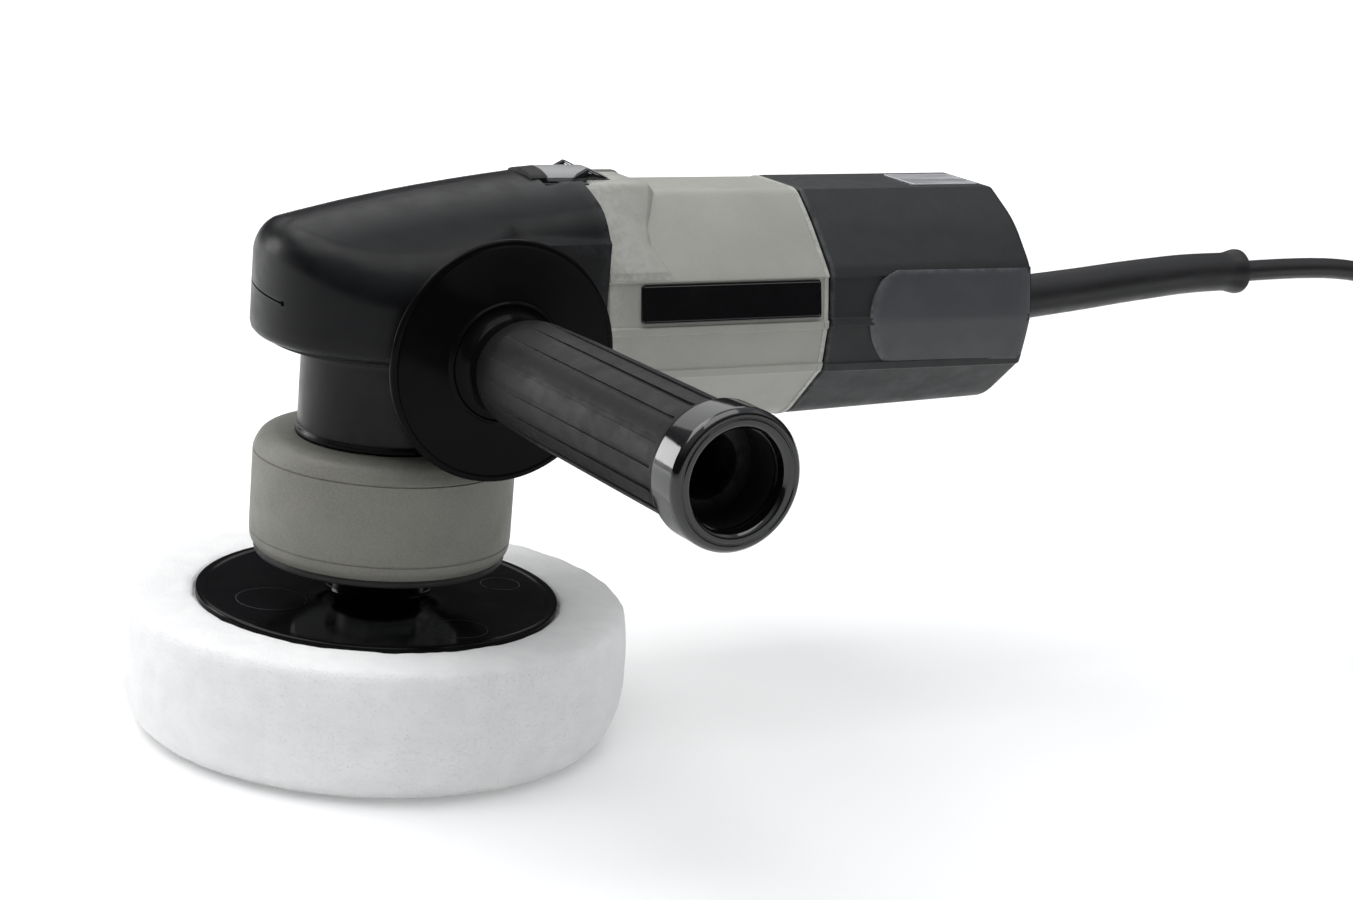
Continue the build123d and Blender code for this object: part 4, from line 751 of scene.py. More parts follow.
# a sleeve on the neck of the gear case, so that its foot and shoulder are rolled as cast
neck = {"profile": [
    (25.9, 90.9, 0), (26.9, 90.95, 0.4), (26.75, 92.2, 0.5), (26.3, 93.0, 0.5), (26.25, 116.0, 1.0),
    (26.9, 118.2, 1.2),
    (31.0, 119.4, 1.5), (36.6, 119.6, 0.8), (37.0, 120.6, 0.4), (36.0, 120.9, 0), (25.9, 120.9, 0),
    (25.9, 90.9, 0),
]}
points, faces = lathe(rounded(neck["profile"]), (0, 0, 0), steps=192)
settle(makePiece("neckSleeve", points, faces, "neckEnamel", 40), "housing", "black_case")
print("shroud and neck made")

# the boot over the gear head
boot = {
    "radius": 41.5,
    "side": 34.6,
    "foot": 120.4,
    "rear": 52.0,
    "wall": 2.4,
    "shoulder": 9.0,
    "crown": 100.0,
    "crest": [(-41.5, 154.6), (-34, 155.6), (-25, 157.6), (-12, 160.4), (5, 163.5), (25, 166.5),
              (52, 169.9)],
    "notch": (40.5, 13.0),
    "panel": {"front": (20.6, 22.4), "edge": ((22.4, -22.0, 158.3), (52.0, -26.6, 160.2)), "foot": 153.5},
    "slit": {"from": 163.5, "to": 199.6, "low": 133.5, "high": 135.4, "half": 0.22, "end": 0.75,
             "depth": 1.0},
}


def crestAt(x):
    knots = boot["crest"]
    x = min(max(x, knots[0][0]), knots[-1][0])
    k = next(i for i in range(len(knots) - 1) if knots[i + 1][0] >= x)
    slopes = [(b[1] - a[1]) / (b[0] - a[0]) for a, b in zip(knots, knots[1:])]
    tangents = [slopes[0]] + [(a + b) / 2 for a, b in zip(slopes, slopes[1:])] + [slopes[-1]]
    (x0, z0), (x1, z1) = knots[k], knots[k + 1]
    h = x1 - x0
    t = (x - x0) / h
    m0, m1 = tangents[k] * h, tangents[k + 1] * h
    return (2 * t**3 - 3 * t**2 + 1) * z0 + (t**3 - 2 * t**2 + t) * m0 + (3 * t**2 - 2 * t**3) * z1 + (t**3 - t**2) * m1


def domeAt(x, y):
    return crestAt(x) - y * y / boot["crown"]


# the raised panel on each side of the rear, as a height over the dome
def panelAt(x, y):
    (xa, ya, za), (xb, yb, zb) = boot["panel"]["edge"]
    t = min(max((x - xa) / (xb - xa), 0), 1)
    edge, high = -(ya + (yb - ya) * t), za + (zb - za) * t
    if abs(y) <= edge:
        return None
    share = (abs(y) - edge) / (boot["side"] - edge)
    return high + (boot["panel"]["foot"] - high) * share


def bootColumns():
    radius, side = boot["radius"], boot["side"]
    corner = math.degrees(math.asin(side / radius))
    joined = radius * math.cos(math.radians(corner))
    straight = [52, 48, 44, 40.5, 37, 33, 29.5, 26, joined]
    near = [(x, -side) for x in straight]
    arc = []
    turn = -corner - 1.3
    while turn > -(360 - corner) + 1:
        arc.append((radius * math.cos(math.radians(turn)), radius * math.sin(math.radians(turn))))
        turn -= 1.5
    slit = boot["slit"]
    for stop in (slit["from"], slit["from"] + 1.8, slit["to"] - 1.8, slit["to"]):
        for shift in (-0.06, 0.06):
            a = math.radians(stop + shift)
            arc.append((radius * math.cos(a), -radius * math.sin(a)))
            arc.append((radius * math.cos(a), radius * math.sin(a)))
    for x in boot["panel"]["front"]:
        y = math.sqrt(radius**2 - x**2)
        arc += [(x, -y), (x, y)]
    arc.sort(key=lambda p: math.atan2(p[1], p[0]) % (2 * math.pi), reverse=True)
    return near + arc + [(x, side) for x in reversed(straight)]


def slitAt(x, y):
    slit = boot["slit"]
    angle = math.degrees(math.atan2(-y, x)) % 360
    along = (angle - slit["from"]) / (slit["to"] - slit["from"])
    middle = slit["low"] + (slit["high"] - slit["low"]) * along
    inside = -1e-4 <= along <= 1 + 1e-4
    atEnd = inside and min(angle - slit["from"], slit["to"] - angle) < 1.81
    return middle, (slit["end"] if atEnd else slit["half"]), inside


def bootColumn(xo, yo):
    radius, rho = boot["radius"], boot["shoulder"]
    xs = xo if xo > 0 else 0.75 * xo
    length = math.hypot(xo - xs, yo)
    straight = xo > boot["panel"]["front"][1] - 0.01
    ramp = (xo - boot["panel"]["front"][0]) / (boot["panel"]["front"][1] - boot["panel"]["front"][0])
    ramp = min(max(ramp, 0), 1)

    def top(x, y, drop):
        z = domeAt(x, y) - drop
        lifted = panelAt(x, y)
        if ramp > 0 and lifted is not None and lifted > z:
            z += (lifted - z) * ramp
        return z

    wallTop = top(xo, yo, rho)
    column = []
    inwards = Vector((-xo, -yo, 0)).normalized() if xo < 10 else Vector((0, -yo, 0)).normalized()
    for turn in (0, 30, 60, 90):  # the rolled foot
        t = 3.0 * (1 - math.sin(math.radians(turn)))
        z = boot["foot"] + 3.0 * (1 - math.cos(math.radians(turn)))
        column.append((xo + inwards.x * t, yo + inwards.y * t, z))
    middle, half, inside = slitAt(xo, yo)
    reach = half if inside else boot["slit"]["half"]
    levels = [boot["foot"] + 6.5, middle - 3.5, middle - 1.5]
    column += [(xo, yo, z) for z in levels]
    for z, deep in ((middle - reach - 0.05, 0), (middle - reach, 1), (middle + reach, 1),
                    (middle + reach + 0.05, 0)):
        t = boot["slit"]["depth"] if deep and inside else 0
        column.append((xo + inwards.x * t, yo + inwards.y * t, z))
    start = middle + 1.5
    column += [(xo, yo, start + (wallTop - start) * k / 5) for k in range(6)]
    for k in range(1, 13):
        turn = math.radians(90 * k / 12)
        t = rho * (1 - math.cos(turn))
        f = min(t / length, 1)
        x, y = xo + (xs - xo) * f, yo * (1 - f)
        column.append((x, y, top(x, y, rho * (1 - math.sin(turn)))))
    fillet = min(rho / length, 1)
    edge = fillet + 0.02
    if straight:
        (xa, ya, za), (xb, yb, zb) = boot["panel"]["edge"]
        t = (xo - xa) / (xb - xa)
        edge = max(edge, 1 + (ya + (yb - ya) * t) / abs(yo) + 1e-4)
    gap = max(1 - boot["notch"][1] / boot["side"], edge + 0.02)
    for start, end, parts in ((fillet, edge, 2), (edge, gap, 6), (gap, 1, 7)):
        for k in range(1, parts + 1):
            f = start + (end - start) * k / parts
            x, y = xo + (xs - xo) * f, yo * (1 - f)
            column.append((x, y, top(x, y, 0)))
    return column


def makeBoot():
    columns = [bootColumn(x, y) for x, y in bootColumns()]
    points, faces = skin(columns, ring=False)
    front, half = boot["notch"]
    kept = []
    for face in faces:
        middle = [sum(points[i][axis] for i in face) / len(face) for axis in (0, 1, 2)]
        if not (middle[0] > front and abs(middle[1]) < half and middle[2] > 150):
            kept.append(face)
    shell = makePiece("gearBoot", points, kept, "bootRubber", 32)
    work = bmesh.new()
    work.from_mesh(shell.data)
    upward = sum(f.normal.z * f.calc_area() for f in work.faces)
    if upward < 0:
        bmesh.ops.reverse_faces(work, faces=work.faces)
    work.to_mesh(shell.data)
    work.free()
    wall = shell.modifiers.new("wall", "SOLIDIFY")
    wall.thickness = boot["wall"] * mm
    wall.offset = -1
    applyShape(shell, 32)
    return settle(shell, "housing", "boot_rubber", "gear_case_boot")


makeBoot()

# the gear cover, whose rear corners are rolled off so that the boot clears them
cover = {"from": 150.0, "keep": 0.9}


def makeCover():
    mesh = nodes["gear_case_cover"].data.copy()
    work = bmesh.new()
    work.from_mesh(mesh)
    bmesh.ops.remove_doubles(work, verts=work.verts, dist=2e-6)
    for vert in work.verts:
        low = cover["from"] * mm
        if vert.co.z > low:
            vert.co.z = low + (vert.co.z - low) * cover["keep"]
    work.to_mesh(mesh)
    work.free()
    soften(mesh, 30)
    piece = bpy.data.objects.new("gearCover", mesh)
    bpy.context.scene.collection.objects.link(piece)
    settle(piece, "housing", "cast_cover", "gear_case_cover")


makeCover()
print("boot made")
# the moulded sleeve over the lead, tapering to a bead
relief = {
    "line": [(201.9, 123.4), (219, 123.9), (236, 125.4), (254, 127.0), (272, 128.8), (286, 130.0),
             (298, 130.9),
             (310, 131.3), (324.4, 131.4)],
    "root": 7.5,
    "tip": 6.6,
    "bead": 7.8,
    "flange": 9.9,
    "rings": 3,
}


def curveThrough(points, parts):
    out = []
    count = len(points)
    for k in range(count - 1):
        p0, p1 = points[max(k - 1, 0)], points[k]
        p2, p3 = points[k + 1], points[min(k + 2, count - 1)]
        for j in range(parts):
            t = j / parts
            out.append(tuple(0.5 * (2 * b + (c - a) * t + (2 * a - 5 * b + 4 * c - d) * t * t
                                    + (3 * b - a - 3 * c + d) * t**3) for a, b, c,
                                    d in zip(p0, p1, p2, p3)))
    out.append(tuple(points[-1]))
    return out


def makeRelief():
    line = curveThrough(relief["line"], 10)
    rows = []
    total = len(line) - 1
    for k, (x, z) in enumerate(line):
        share = k / total
        radius = relief["root"] + (relief["tip"] - relief["root"]) * min(share / 0.93, 1)
        if share < 0.055:
            radius = relief["flange"] - (relief["flange"] - relief["root"]) * (share / 0.055) ** 0.4
        if 0.09 < share < 0.2:  # moulded rings next to the housing
            radius += 0.35 * (0.5 - 0.5 * math.cos((share - 0.09) / 0.11 * relief["rings"] * 2 * math.pi))
        if share > 0.93:
            t = (share - 0.93) / 0.07
            radius = relief["tip"] + (relief["bead"] - relief["tip"]) * math.sin(min(t * 1.25,
                1) * math.pi / 2) ** 1.4
            if t > 0.72:
                radius = relief["bead"] - 2.6 * (1 - math.sqrt(max(1 - ((t - 0.72) / 0.28) ** 2, 0)))
        a, b = line[max(k - 1, 0)], line[min(k + 1, total)]
        slope = Vector((b[0] - a[0], 0, b[1] - a[1])).normalized()
        upright = Vector((-slope.z, 0, slope.x))
        rows.append([(x + upright.x * radius * math.cos(turn), radius * math.sin(turn),
                      z + upright.z * radius * math.cos(turn)) for turn in (2 * math.pi * j / 64 for j in range(64))])
    tip = line[-1]
    mouth = []
    for radius, back in ((4.3, 0.1), (3.9, 1.0), (3.8, 2.0)):
        mouth.append([(tip[0] - back, radius * math.sin(turn), tip[1] + radius * math.cos(turn))
                      for turn in (2 * math.pi * j / 64 for j in range(64))])
    points, faces = skin(rows + mouth, start=True, end=True)
    return settle(makePiece("leadSleeve", points, faces, "cordRubber", 50), "housing", "cord_rubber",
                  "strain_relief")


makeRelief()

# the side handle: glossy disc, ribbed sleeve, glossy collar with a deep bore
handle = {
    "axis": (14.1, 0, 122.4),
    "start": 43.0,
    "disc": [(5.2, 43.05, 0), (34.0, 43.05, 0.5), (35.2, 43.35, 0.5), (35.3, 44.2, 0.5),
             (34.9, 45.1, 0.5), (33.6, 45.35, 0.3),
             (33.2, 45.05, 0.3), (31.0, 45.2, 0.4), (18.0, 46.2, 1.0), (17.4, 46.9, 0.3), (16.9, 47.0, 0.3),
             (16.5, 46.5, 0.3), (14.4, 47.3, 1.2), (12.9, 49.6, 1.0), (12.6, 53.2, 0), (9.0, 53.2, 0),
             (5.2, 53.2, 0)],
    "sleeve": [(9.0, 52.0, 0), (12.3, 52.05, 0.3), (12.9, 52.8, 0.5), (15.0, 57.0, 2.0),
               (15.8, 62.0, 2.0), (16.25, 85, 2.0),
               (16.4, 120, 2.0), (16.5, 153, 1.0), (16.9, 157.5, 1.0), (17.7, 160.4, 0.3),
               (14.0, 160.6, 0), (14.0, 156.0, 0),
               (9.0, 156.0, 0)],
    "collar": [(13.2, 168.2, 0), (14.4, 159.6, 0), (18.2, 159.9, 0.4), (18.75, 160.8, 0.6),
               (18.75, 170.6, 1.1),
               (17.6, 172.0, 0.6), (16.6, 172.05, 0.2), (16.4, 171.75, 0.1), (16.1, 171.75, 0.1),
               (15.9, 172.05, 0.2),
               (14.4, 172.0, 0.5), (13.5, 171.0, 0.4), (13.4, 168.2, 0), (13.2, 168.2, 0)],
    "bore": [(13.42, 168.3, 0), (13.3, 130, 0), (13.0, 117.4, 0.8), (4.0, 117.0, 0.5),
             (3.2, 100.0, 0.3), (0, 100.0, 0),
             (0, 99.0, 0), (8.9, 99.0, 0), (9.2, 115.6, 0.5), (14.0, 116.2, 0.5), (14.4, 159.7, 0),
             (13.42, 168.3, 0)],
    "grooves": {"count": 16, "width": 1.7, "depth": 0.55, "from": 59.0, "to": 156.2, "first": 153.8},
}


def makeHandle():
    middle = handle["axis"]
    points, faces = lathe(rounded(handle["disc"]) + [handle["disc"][0][:2]], middle, "Y", 192)
    settle(makePiece("handleDisc", points, faces, "discBlack", 30), "housing", "black_gloss", "handle_grip")
    outer = rounded(handle["sleeve"])
    fine = []
    for (r0, a0), (r1, a1) in zip(outer, outer[1:]):
        parts = max(1, round(abs(a1 - a0) / 6))
        fine += [(r0 + (r1 - r0) * k / parts, a0 + (a1 - a0) * k / parts) for k in range(parts)]
    fine.append(outer[-1])
    points, faces = lathe(fine + [handle["sleeve"][0][:2]], middle, "Y", 256)
    sleeve = makePiece("gripSleeve", points, faces, "gripPlastic", 25)
    grooves = handle["grooves"]

    def drawGrooves(s, entry):
        height = entry["Depth"] * 2
        slotHalf = entry["To"] - entry["From"]
        box = s.node("GeometryNodeMeshCube", None, {"Size": s.node("ShaderNodeCombineXYZ", None, {
            "X": height, "Y": slotHalf, "Z": entry["Width"]})}, "Mesh")
        radius = entry["Radius"]
        shift = s.node("ShaderNodeCombineXYZ", None, {"X": radius,
                                                      "Y": -1 * (entry["From"] + entry["To"]) / 2,
                                                      "Z": 0.0})
        moved = s.node("GeometryNodeTransform", None, {"Geometry": box, "Translation": shift}, "Geometry")
        ring = s.node("GeometryNodeMeshLine", None, {"Count": entry["Count"], "Offset": (0, 0, 0)}, "Mesh")
        number = s.node("GeometryNodeInputIndex")
        angle = entry["First"] + number * (2 * math.pi) / entry["Count"]
        turn = s.node("ShaderNodeCombineXYZ", None, {"X": 0.0, "Y": -1 * angle, "Z": 0.0})
        spin = s.node("FunctionNodeEulerToRotation", None, {0: turn})
        cutters = s.node("GeometryNodeInstanceOnPoints", None,
                         {"Points": ring, "Instance": moved, "Rotation": spin})
        placed = s.node("GeometryNodeTransform", None, {
            "Geometry": cutters, "Translation": tuple(c * mm for c in middle)}, "Geometry")
        return closing(s, placed, entry["Finish"])

    tree = shapeTree("gripGrooves", {"Count": 16, "Width": 0.001, "Depth": 0.001, "From": 0.05,
                                     "To": 0.1, "First": 0.0,
                                     "Radius": 0.016, "Finish": "material"}, drawGrooves)
    cutter = makePiece("grooveCutter", points[:3], [(0, 1, 2)], "gripPlastic")
    useTree(cutter, tree, {"Count": grooves["count"], "Width": grooves["width"] * mm,
                           "Depth": grooves["depth"] * mm,
                           "From": grooves["from"] * mm, "To": grooves["to"] * mm,
                           "First": math.radians(grooves["first"]), "Radius": 16.35 * mm,
                           "Finish": finishes["gripPlastic"]})
    cut = sleeve.modifiers.new("grooves", "BOOLEAN")
    cut.operation = "DIFFERENCE"
    cut.solver = "EXACT"
    cut.object = cutter
    applyShape(sleeve, 25)
    bpy.data.objects.remove(cutter)
    settle(sleeve, "housing", "grip_plastic")
    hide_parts("handle_grip")
    for name, look, slot in (("collar", "glossBlack", "black_gloss"),
                             ("bore", "insidePlastic", "grip_plastic")):
        points, faces = lathe(rounded(handle[name]), middle, "Y", 192)
        made = makePiece("handle" + name.capitalize(), points, faces, look, 30)
        settle(made, "housing", slot)


makeHandle()
print("relief and handle made")

# the motor housing: one section carried back from the gear head, with grip strips along its sides
body = {
    "front": 52.0,
    "seam": 129.5,
    "wall": 3.0,
    # half of the section: (distance out, height, rounding)
    "section": [(0, 164.8, 0), (12, 164.8, 3.0), (21.5, 156.6, 5.0), (33.0, 144.3, 2.0),
                (34.9, 141.9, 0.25),
                (34.25, 141.4, 0.2), (36.2, 128.7, 0.2), (36.9, 128.45, 0.25), (37.0, 126.25, 0.25),
                (36.35, 126.0, 0.2),
                (35.2, 115.3, 0.2), (35.75, 115.0, 0.2), (35.05, 112.5, 0.25), (34.4, 112.2, 0.2),
                (17, 93.4, 7.0), (0, 93.4, 0)],
    "collar": [(0, 167.5, 0), (13, 167.0, 2.5), (21.5, 157.6, 3.0), (27.4, 152.0, 3.0), (34.0, 144.4, 0.3),
               (34.3, 142.0, 0.2)],
    "lip": 0.28,
}


# rounds a half section's corners
def sectionHalf(half, bends=6):
    line = []
    for k, (y, z, bend) in enumerate(half):
        if not bend or k in (0, len(half) - 1):
            line.append((y, z))
            continue
        here, before, after = Vector((y, z)), Vector(half[k - 1][:2]), Vector(half[k + 1][:2])
        reach = min(bend, (before - here).length * 0.48, (after - here).length * 0.48)
        start, stop = here + (before - here).normalized() * reach, here + (after - here).normalized() * reach
        for j in range(bends + 1):
            t = j / bends
            p = start * (1 - t) ** 2 + here * 2 * t * (1 - t) + stop * t**2
            line.append((p.x, p.y))
    return line


def sectionRing(half):
    line = sectionHalf(half)
    return line + [(-y, z) for y, z in reversed(line[1:-1])]


def makeHousing():
    section = sectionRing(body["section"])
    front, seam = body["front"], body["seam"]

    def shrink(ring, amount):
        cy, cz = 0.0, 128.0
        out = []
        for y, z in ring:
            length = math.hypot(y - cy, z - cz)
            out.append((y - y / length * amount, z - (z - cz) / length * amount))
        return out

    rows = [[(front, *p) for p in shrink(section, 0.5)], [(front + 0.5, *p) for p in section]]
    rows += [[(x, *p) for p in section] for x in (60, 70, 78, 90, 105, 118, 126, seam - 2.4)]
    rows += [[(seam - 2.2, *p) for p in shrink(section, -body["lip"])],
             [(seam - 0.9, *p) for p in shrink(section, -body["lip"])],
             [(seam - 0.55, *p) for p in shrink(section, 0.1)],
             [(seam - 0.5, *p) for p in shrink(section, 1.4)],
             [(seam, *p) for p in shrink(section, 1.5)], [(seam, *p) for p in shrink(section, 3.2)]]
    inner = shrink(section, 3.2)
    rows += [[(x, *p) for p in inner] for x in (120, 100, 80, 60, front)]
    rows.append(rows[0])
    points, faces = skin(rows)
    shell = makePiece("motorShell", points, faces, "greyShell", 28)
    settle(shell, "housing", "grey_plastic", "motor_housing")


makeHousing()

# the raised collar that the boot butts against, with rails beside the switch
collar = {
    "strip": [(0, 167.5, 0), (8.7, 167.5, 0.3), (12.8, 167.1, 2.2), (21.6, 157.7, 3.0),
              (27.5, 152.0, 2.0), (34.15, 144.6, 0.4),
              (34.6, 142.4, 0.3)],
    "ends": [(167.6, 76.5), (161, 73.5), (156.9, 70.8), (151.8, 69.3), (144.4, 73.5), (141.5, 75.5)],
    "deep": 3.6,
    "pocket": {"front": 41.0, "rear": 66.6, "half": 8.5, "floor": 164.9},
    "rails": {"front": 56.2, "half": 13.0},
}


def collarEnd(z):
    ends = collar["ends"]
    for (z0, x0), (z1, x1) in zip(ends, ends[1:]):
        if z >= z1:
            return x0 + (x1 - x0) * min(max((z0 - z) / (z0 - z1), 0), 1)
    return ends[-1][1]


def makeCollar():
    half = sectionHalf(collar["strip"])
    deep = collar["deep"]
    for side, name in ((-1, "collarNear"), (1, "collarFar")):
        rows = []
        for y, z in half:
            if y < collar["pocket"]["half"] + 0.05:
                continue
            nose = collar["rails"]["front"] if y < collar["rails"]["half"] else body["front"]
            nose = min(nose, body["front"] + max(0, (collar["rails"]["half"] - y)) * 4 + 0.2)
            end = collarEnd(z)
            length = math.hypot(y, z - 128)
            u, v = y / length, (z - 128) / length
            profile = [(nose, deep), (nose, 0.5), (nose + 0.5, 0.0), (end - 1.6, 0.0), (end - 0.7, 0.3),
                       (end + 0.6, 1.4), (end + 2.4, deep)]
            rows.append([(x, side * (y - u * d), z - v * d) for x, d in profile])
        if rows:
            first = [(p[0], side * collar["pocket"]["half"], p[2]) for p in rows[0]]
            rows.insert(0, first)
        points, faces = skin(rows, start=True, end=True)
        settle(makePiece(name, points, faces, "greyShell", 28), "housing", "grey_plastic")
    # the bridge behind the switch
    pocket = collar["pocket"]
    rows = []
    for k in range(9):
        y = -pocket["half"] - 0.02 + (2 * pocket["half"] + 0.04) * k / 8
        end = collarEnd(167.5)
        profile = [(pocket["rear"] + 0.6, 163.9), (pocket["rear"] + 0.6, 166.5),
                   (pocket["rear"] + 1.0, 166.9),
                   (end - 1.4, 166.9), (end - 0.6, 166.6), (end + 0.6, 165.7), (end + 2.0, 163.9)]
        rows.append([(x, y, z) for x, z in profile])
    points, faces = skin(rows, start=True, end=True)
    settle(makePiece("collarBridge", points, faces, "greyShell", 28), "housing", "grey_plastic")


makeCollar()

# the rear cap
cap = {
    "front": 130.0,
    "rear": 204.8,
    "edge": 3.2,
    "wall": 3.0,
    "frontSection": [(0, 164.8, 0), (12.3, 164.8, 0.4), (22.0, 156.4, 3.0), (33.2, 144.7, 1.0),
                     (34.9, 141.9, 0.25),
                     (34.35, 141.4, 0.2), (36.25, 129.4, 0.2), (36.95, 129.1, 0.25),
                     (37.0, 126.8, 0.25), (36.35, 126.5, 0.2),
                     (35.2, 115.0, 0.2), (35.75, 114.7, 0.2), (35.05, 112.2, 0.25), (34.4, 111.9, 0.2),
                     (17, 93.4, 7.0), (0, 93.4, 0)],
    "rearSection": [(0, 165.0, 0), (12.5, 165.0, 0.4), (26.2, 157.0, 6.0), (36.4, 145.2, 2.0),
                    (38.0, 141.9, 0.25),
                    (37.5, 141.4, 0.2), (39.7, 129.4, 0.2), (40.2, 129.1, 0.25), (40.2, 126.8, 0.25),
                    (39.5, 126.5, 0.2),
                    (37.4, 115.0, 0.2), (37.9, 114.7, 0.2), (37.2, 112.2, 0.25), (36.5, 111.9, 0.2),
                    (20, 96.4, 7.0), (0, 96.4, 0)],
    "screws": [(22.5, 110.0), (22.5, 144.5), (-22.5, 110.0), (-22.5, 144.5)],
    "slots": {"rows": 6, "first": 110.0, "pitch": 6.0, "out": 22.0, "long": 15.0, "tall": 2.6},
    "dial": (148.0, 12.0),
    "relief": (123.4, 7.9),
}


def capRing(x, shrink=0.0):
    share = (x - cap["front"]) / (cap["rear"] - cap["front"])
    first, second = sectionRing(cap["frontSection"]), sectionRing(cap["rearSection"])
    out = []
    for (y0, z0), (y1, z1) in zip(first, second):
        y, z = y0 + (y1 - y0) * share, z0 + (z1 - z0) * share
        length = math.hypot(y, z - 128)
        out.append((x, y - y / length * shrink, z - (z - 128) / length * shrink))
    return out


# closed bars with round ends, for cutting; each is (y, z, half length, half height)
def slotBar(x0, x1, y, z, half, tall, steps=10):
    rows = []
    for x in (x0, x1):
        row = []
        for side in (1, -1):
            for k in range(steps + 1):
                turn = math.pi * k / steps - math.pi / 2
                row.append((x, y + side * (half - tall + tall * math.cos(turn)),
                            z + side * tall * math.sin(turn)))
        rows.append(row)
    return skin(rows, start=True, end=True)


def joined(parts):
    points, faces = [], []
    for morePoints, moreFaces in parts:
        faces += [tuple(i + len(points) for i in face) for face in moreFaces]
        points += morePoints
    return points, faces


def cutAway(piece, cutter, angle):
    cut = piece.modifiers.new("openings", "BOOLEAN")
    cut.operation = "DIFFERENCE"
    cut.solver = "EXACT"
    cut.object = cutter
    applyShape(piece, angle)
    bpy.data.objects.remove(cutter)


def makeCap():
    front, rear, edge, wall = cap["front"], cap["rear"], cap["edge"], cap["wall"]
    rows = [capRing(front - 0.1, 1.6), capRing(front - 0.05, 0.5), capRing(front + 0.4, 0.05)]
    rows += [capRing(x) for x in (front + 1.5, 145, 160, 175, 190, rear - edge)]
    for k in range(1, 9):
        turn = math.radians(90 * k / 8)
        rows.append(capRing(rear - edge * (1 - math.sin(turn)), edge * (1 - math.cos(turn))))
    rows += [capRing(rear, d) for d in (8, 16)]
    rows.append([(rear, 0, 128)] * len(rows[0]))
    rows.append([(rear - wall, 0, 128)] * len(rows[0]))
    rows += [capRing(rear - wall, d) for d in (16, 8, wall + 1.5)]
    rows += [capRing(x, wall + 0.4) for x in (rear - wall - 1.5, 175, 150, front - 0.1)]
    rows.append(rows[0])
    points, faces = skin(rows)
    shell = makePiece("rearShell", points, faces, "darkShell", 28)
    slots = cap["slots"]

    def drawSlots(s, entry):
        line = s.node("GeometryNodeMeshLine", None, {"Count": entry["Rows"] * 2, "Offset": (0, 0, 0)},
                      "Mesh")
        number = s.node("GeometryNodeInputIndex")
        level = s.maths("FLOOR", number / 2)
        side = (number - level * 2) * 2 - 1
        spot = s.node("ShaderNodeCombineXYZ", None, {
            "X": entry["Face"], "Y": side * entry["Out"], "Z": entry["First"] + level * entry["Pitch"]})
        placed = s.node("GeometryNodeSetPosition", None, {"Geometry": line, "Position": spot})
        bar = s.node("GeometryNodeObjectInfo", None, {"Object": entry["Bar"]}, "Geometry")
        bars = s.node("GeometryNodeInstanceOnPoints", None, {"Points": placed, "Instance": bar})
        return closing(s, bars, entry["Finish"])

    tree = shapeTree("airSlots", {"Rows": 6, "Face": 0.2, "Out": 0.02, "First": 0.11, "Pitch": 0.006,
                                  "Bar": "object", "Finish": "material"}, drawSlots)
    points, faces = slotBar(-6, 2, 0, 0, slots["long"] / 2, slots["tall"] / 2)
    bar = makePiece("slotBar", points, faces, "darkShell")
    cutter = makePiece("slotCutter", points[:3], [(0, 1, 2)], "darkShell")
    useTree(cutter, tree, {"Rows": slots["rows"], "Face": rear * mm, "Out": slots["out"] * mm,
                           "First": slots["first"] * mm, "Pitch": slots["pitch"] * mm, "Bar": bar,
                           "Finish": finishes["darkShell"]})
    bpy.data.objects.remove(bar)
    cutAway(shell, cutter, 28)
    holes = [lathe([(0, -8), (3.6, -8), (3.6, 2), (0, 2)], (rear, y, z), "X", 48) for y, z in cap["screws"]]
    for z, radius in (cap["dial"], cap["relief"]):
        holes.append(lathe([(0, -6), (radius, -6), (radius, 2), (0, 2)], (rear, 0, z), "X", 96))
    points, faces = joined(holes)
    cutAway(shell, makePiece("roundCutter", points, faces, "darkShell"), 28)
    settle(shell, "housing", "dark_plastic", "rear_cap")
    pillars = [lathe(rounded([(1.9, -73, 0), (4.3, -73, 0.3), (4.3, -3.2, 0), (3.6, -3.2, 0.2),
                              (3.6, -8.0, 0.1),
                              (1.9, -8.0, 0.1), (1.9, -73, 0)]), (rear, y, z), "X", 48) for y,
                              z in cap["screws"]]
    points, faces = joined(pillars)
    settle(makePiece("screwPillars", points, faces, "darkShell"), "housing", "dark_plastic")


makeCap()

# smooth thumb patches on the cap's sides
patch = {"proud": 0.42, "left": [(143.4, 150.4), (128.8, 143.6), (113.0, 152.8)], "low": 113.0,
         "high": 143.4, "deep": 1.4}


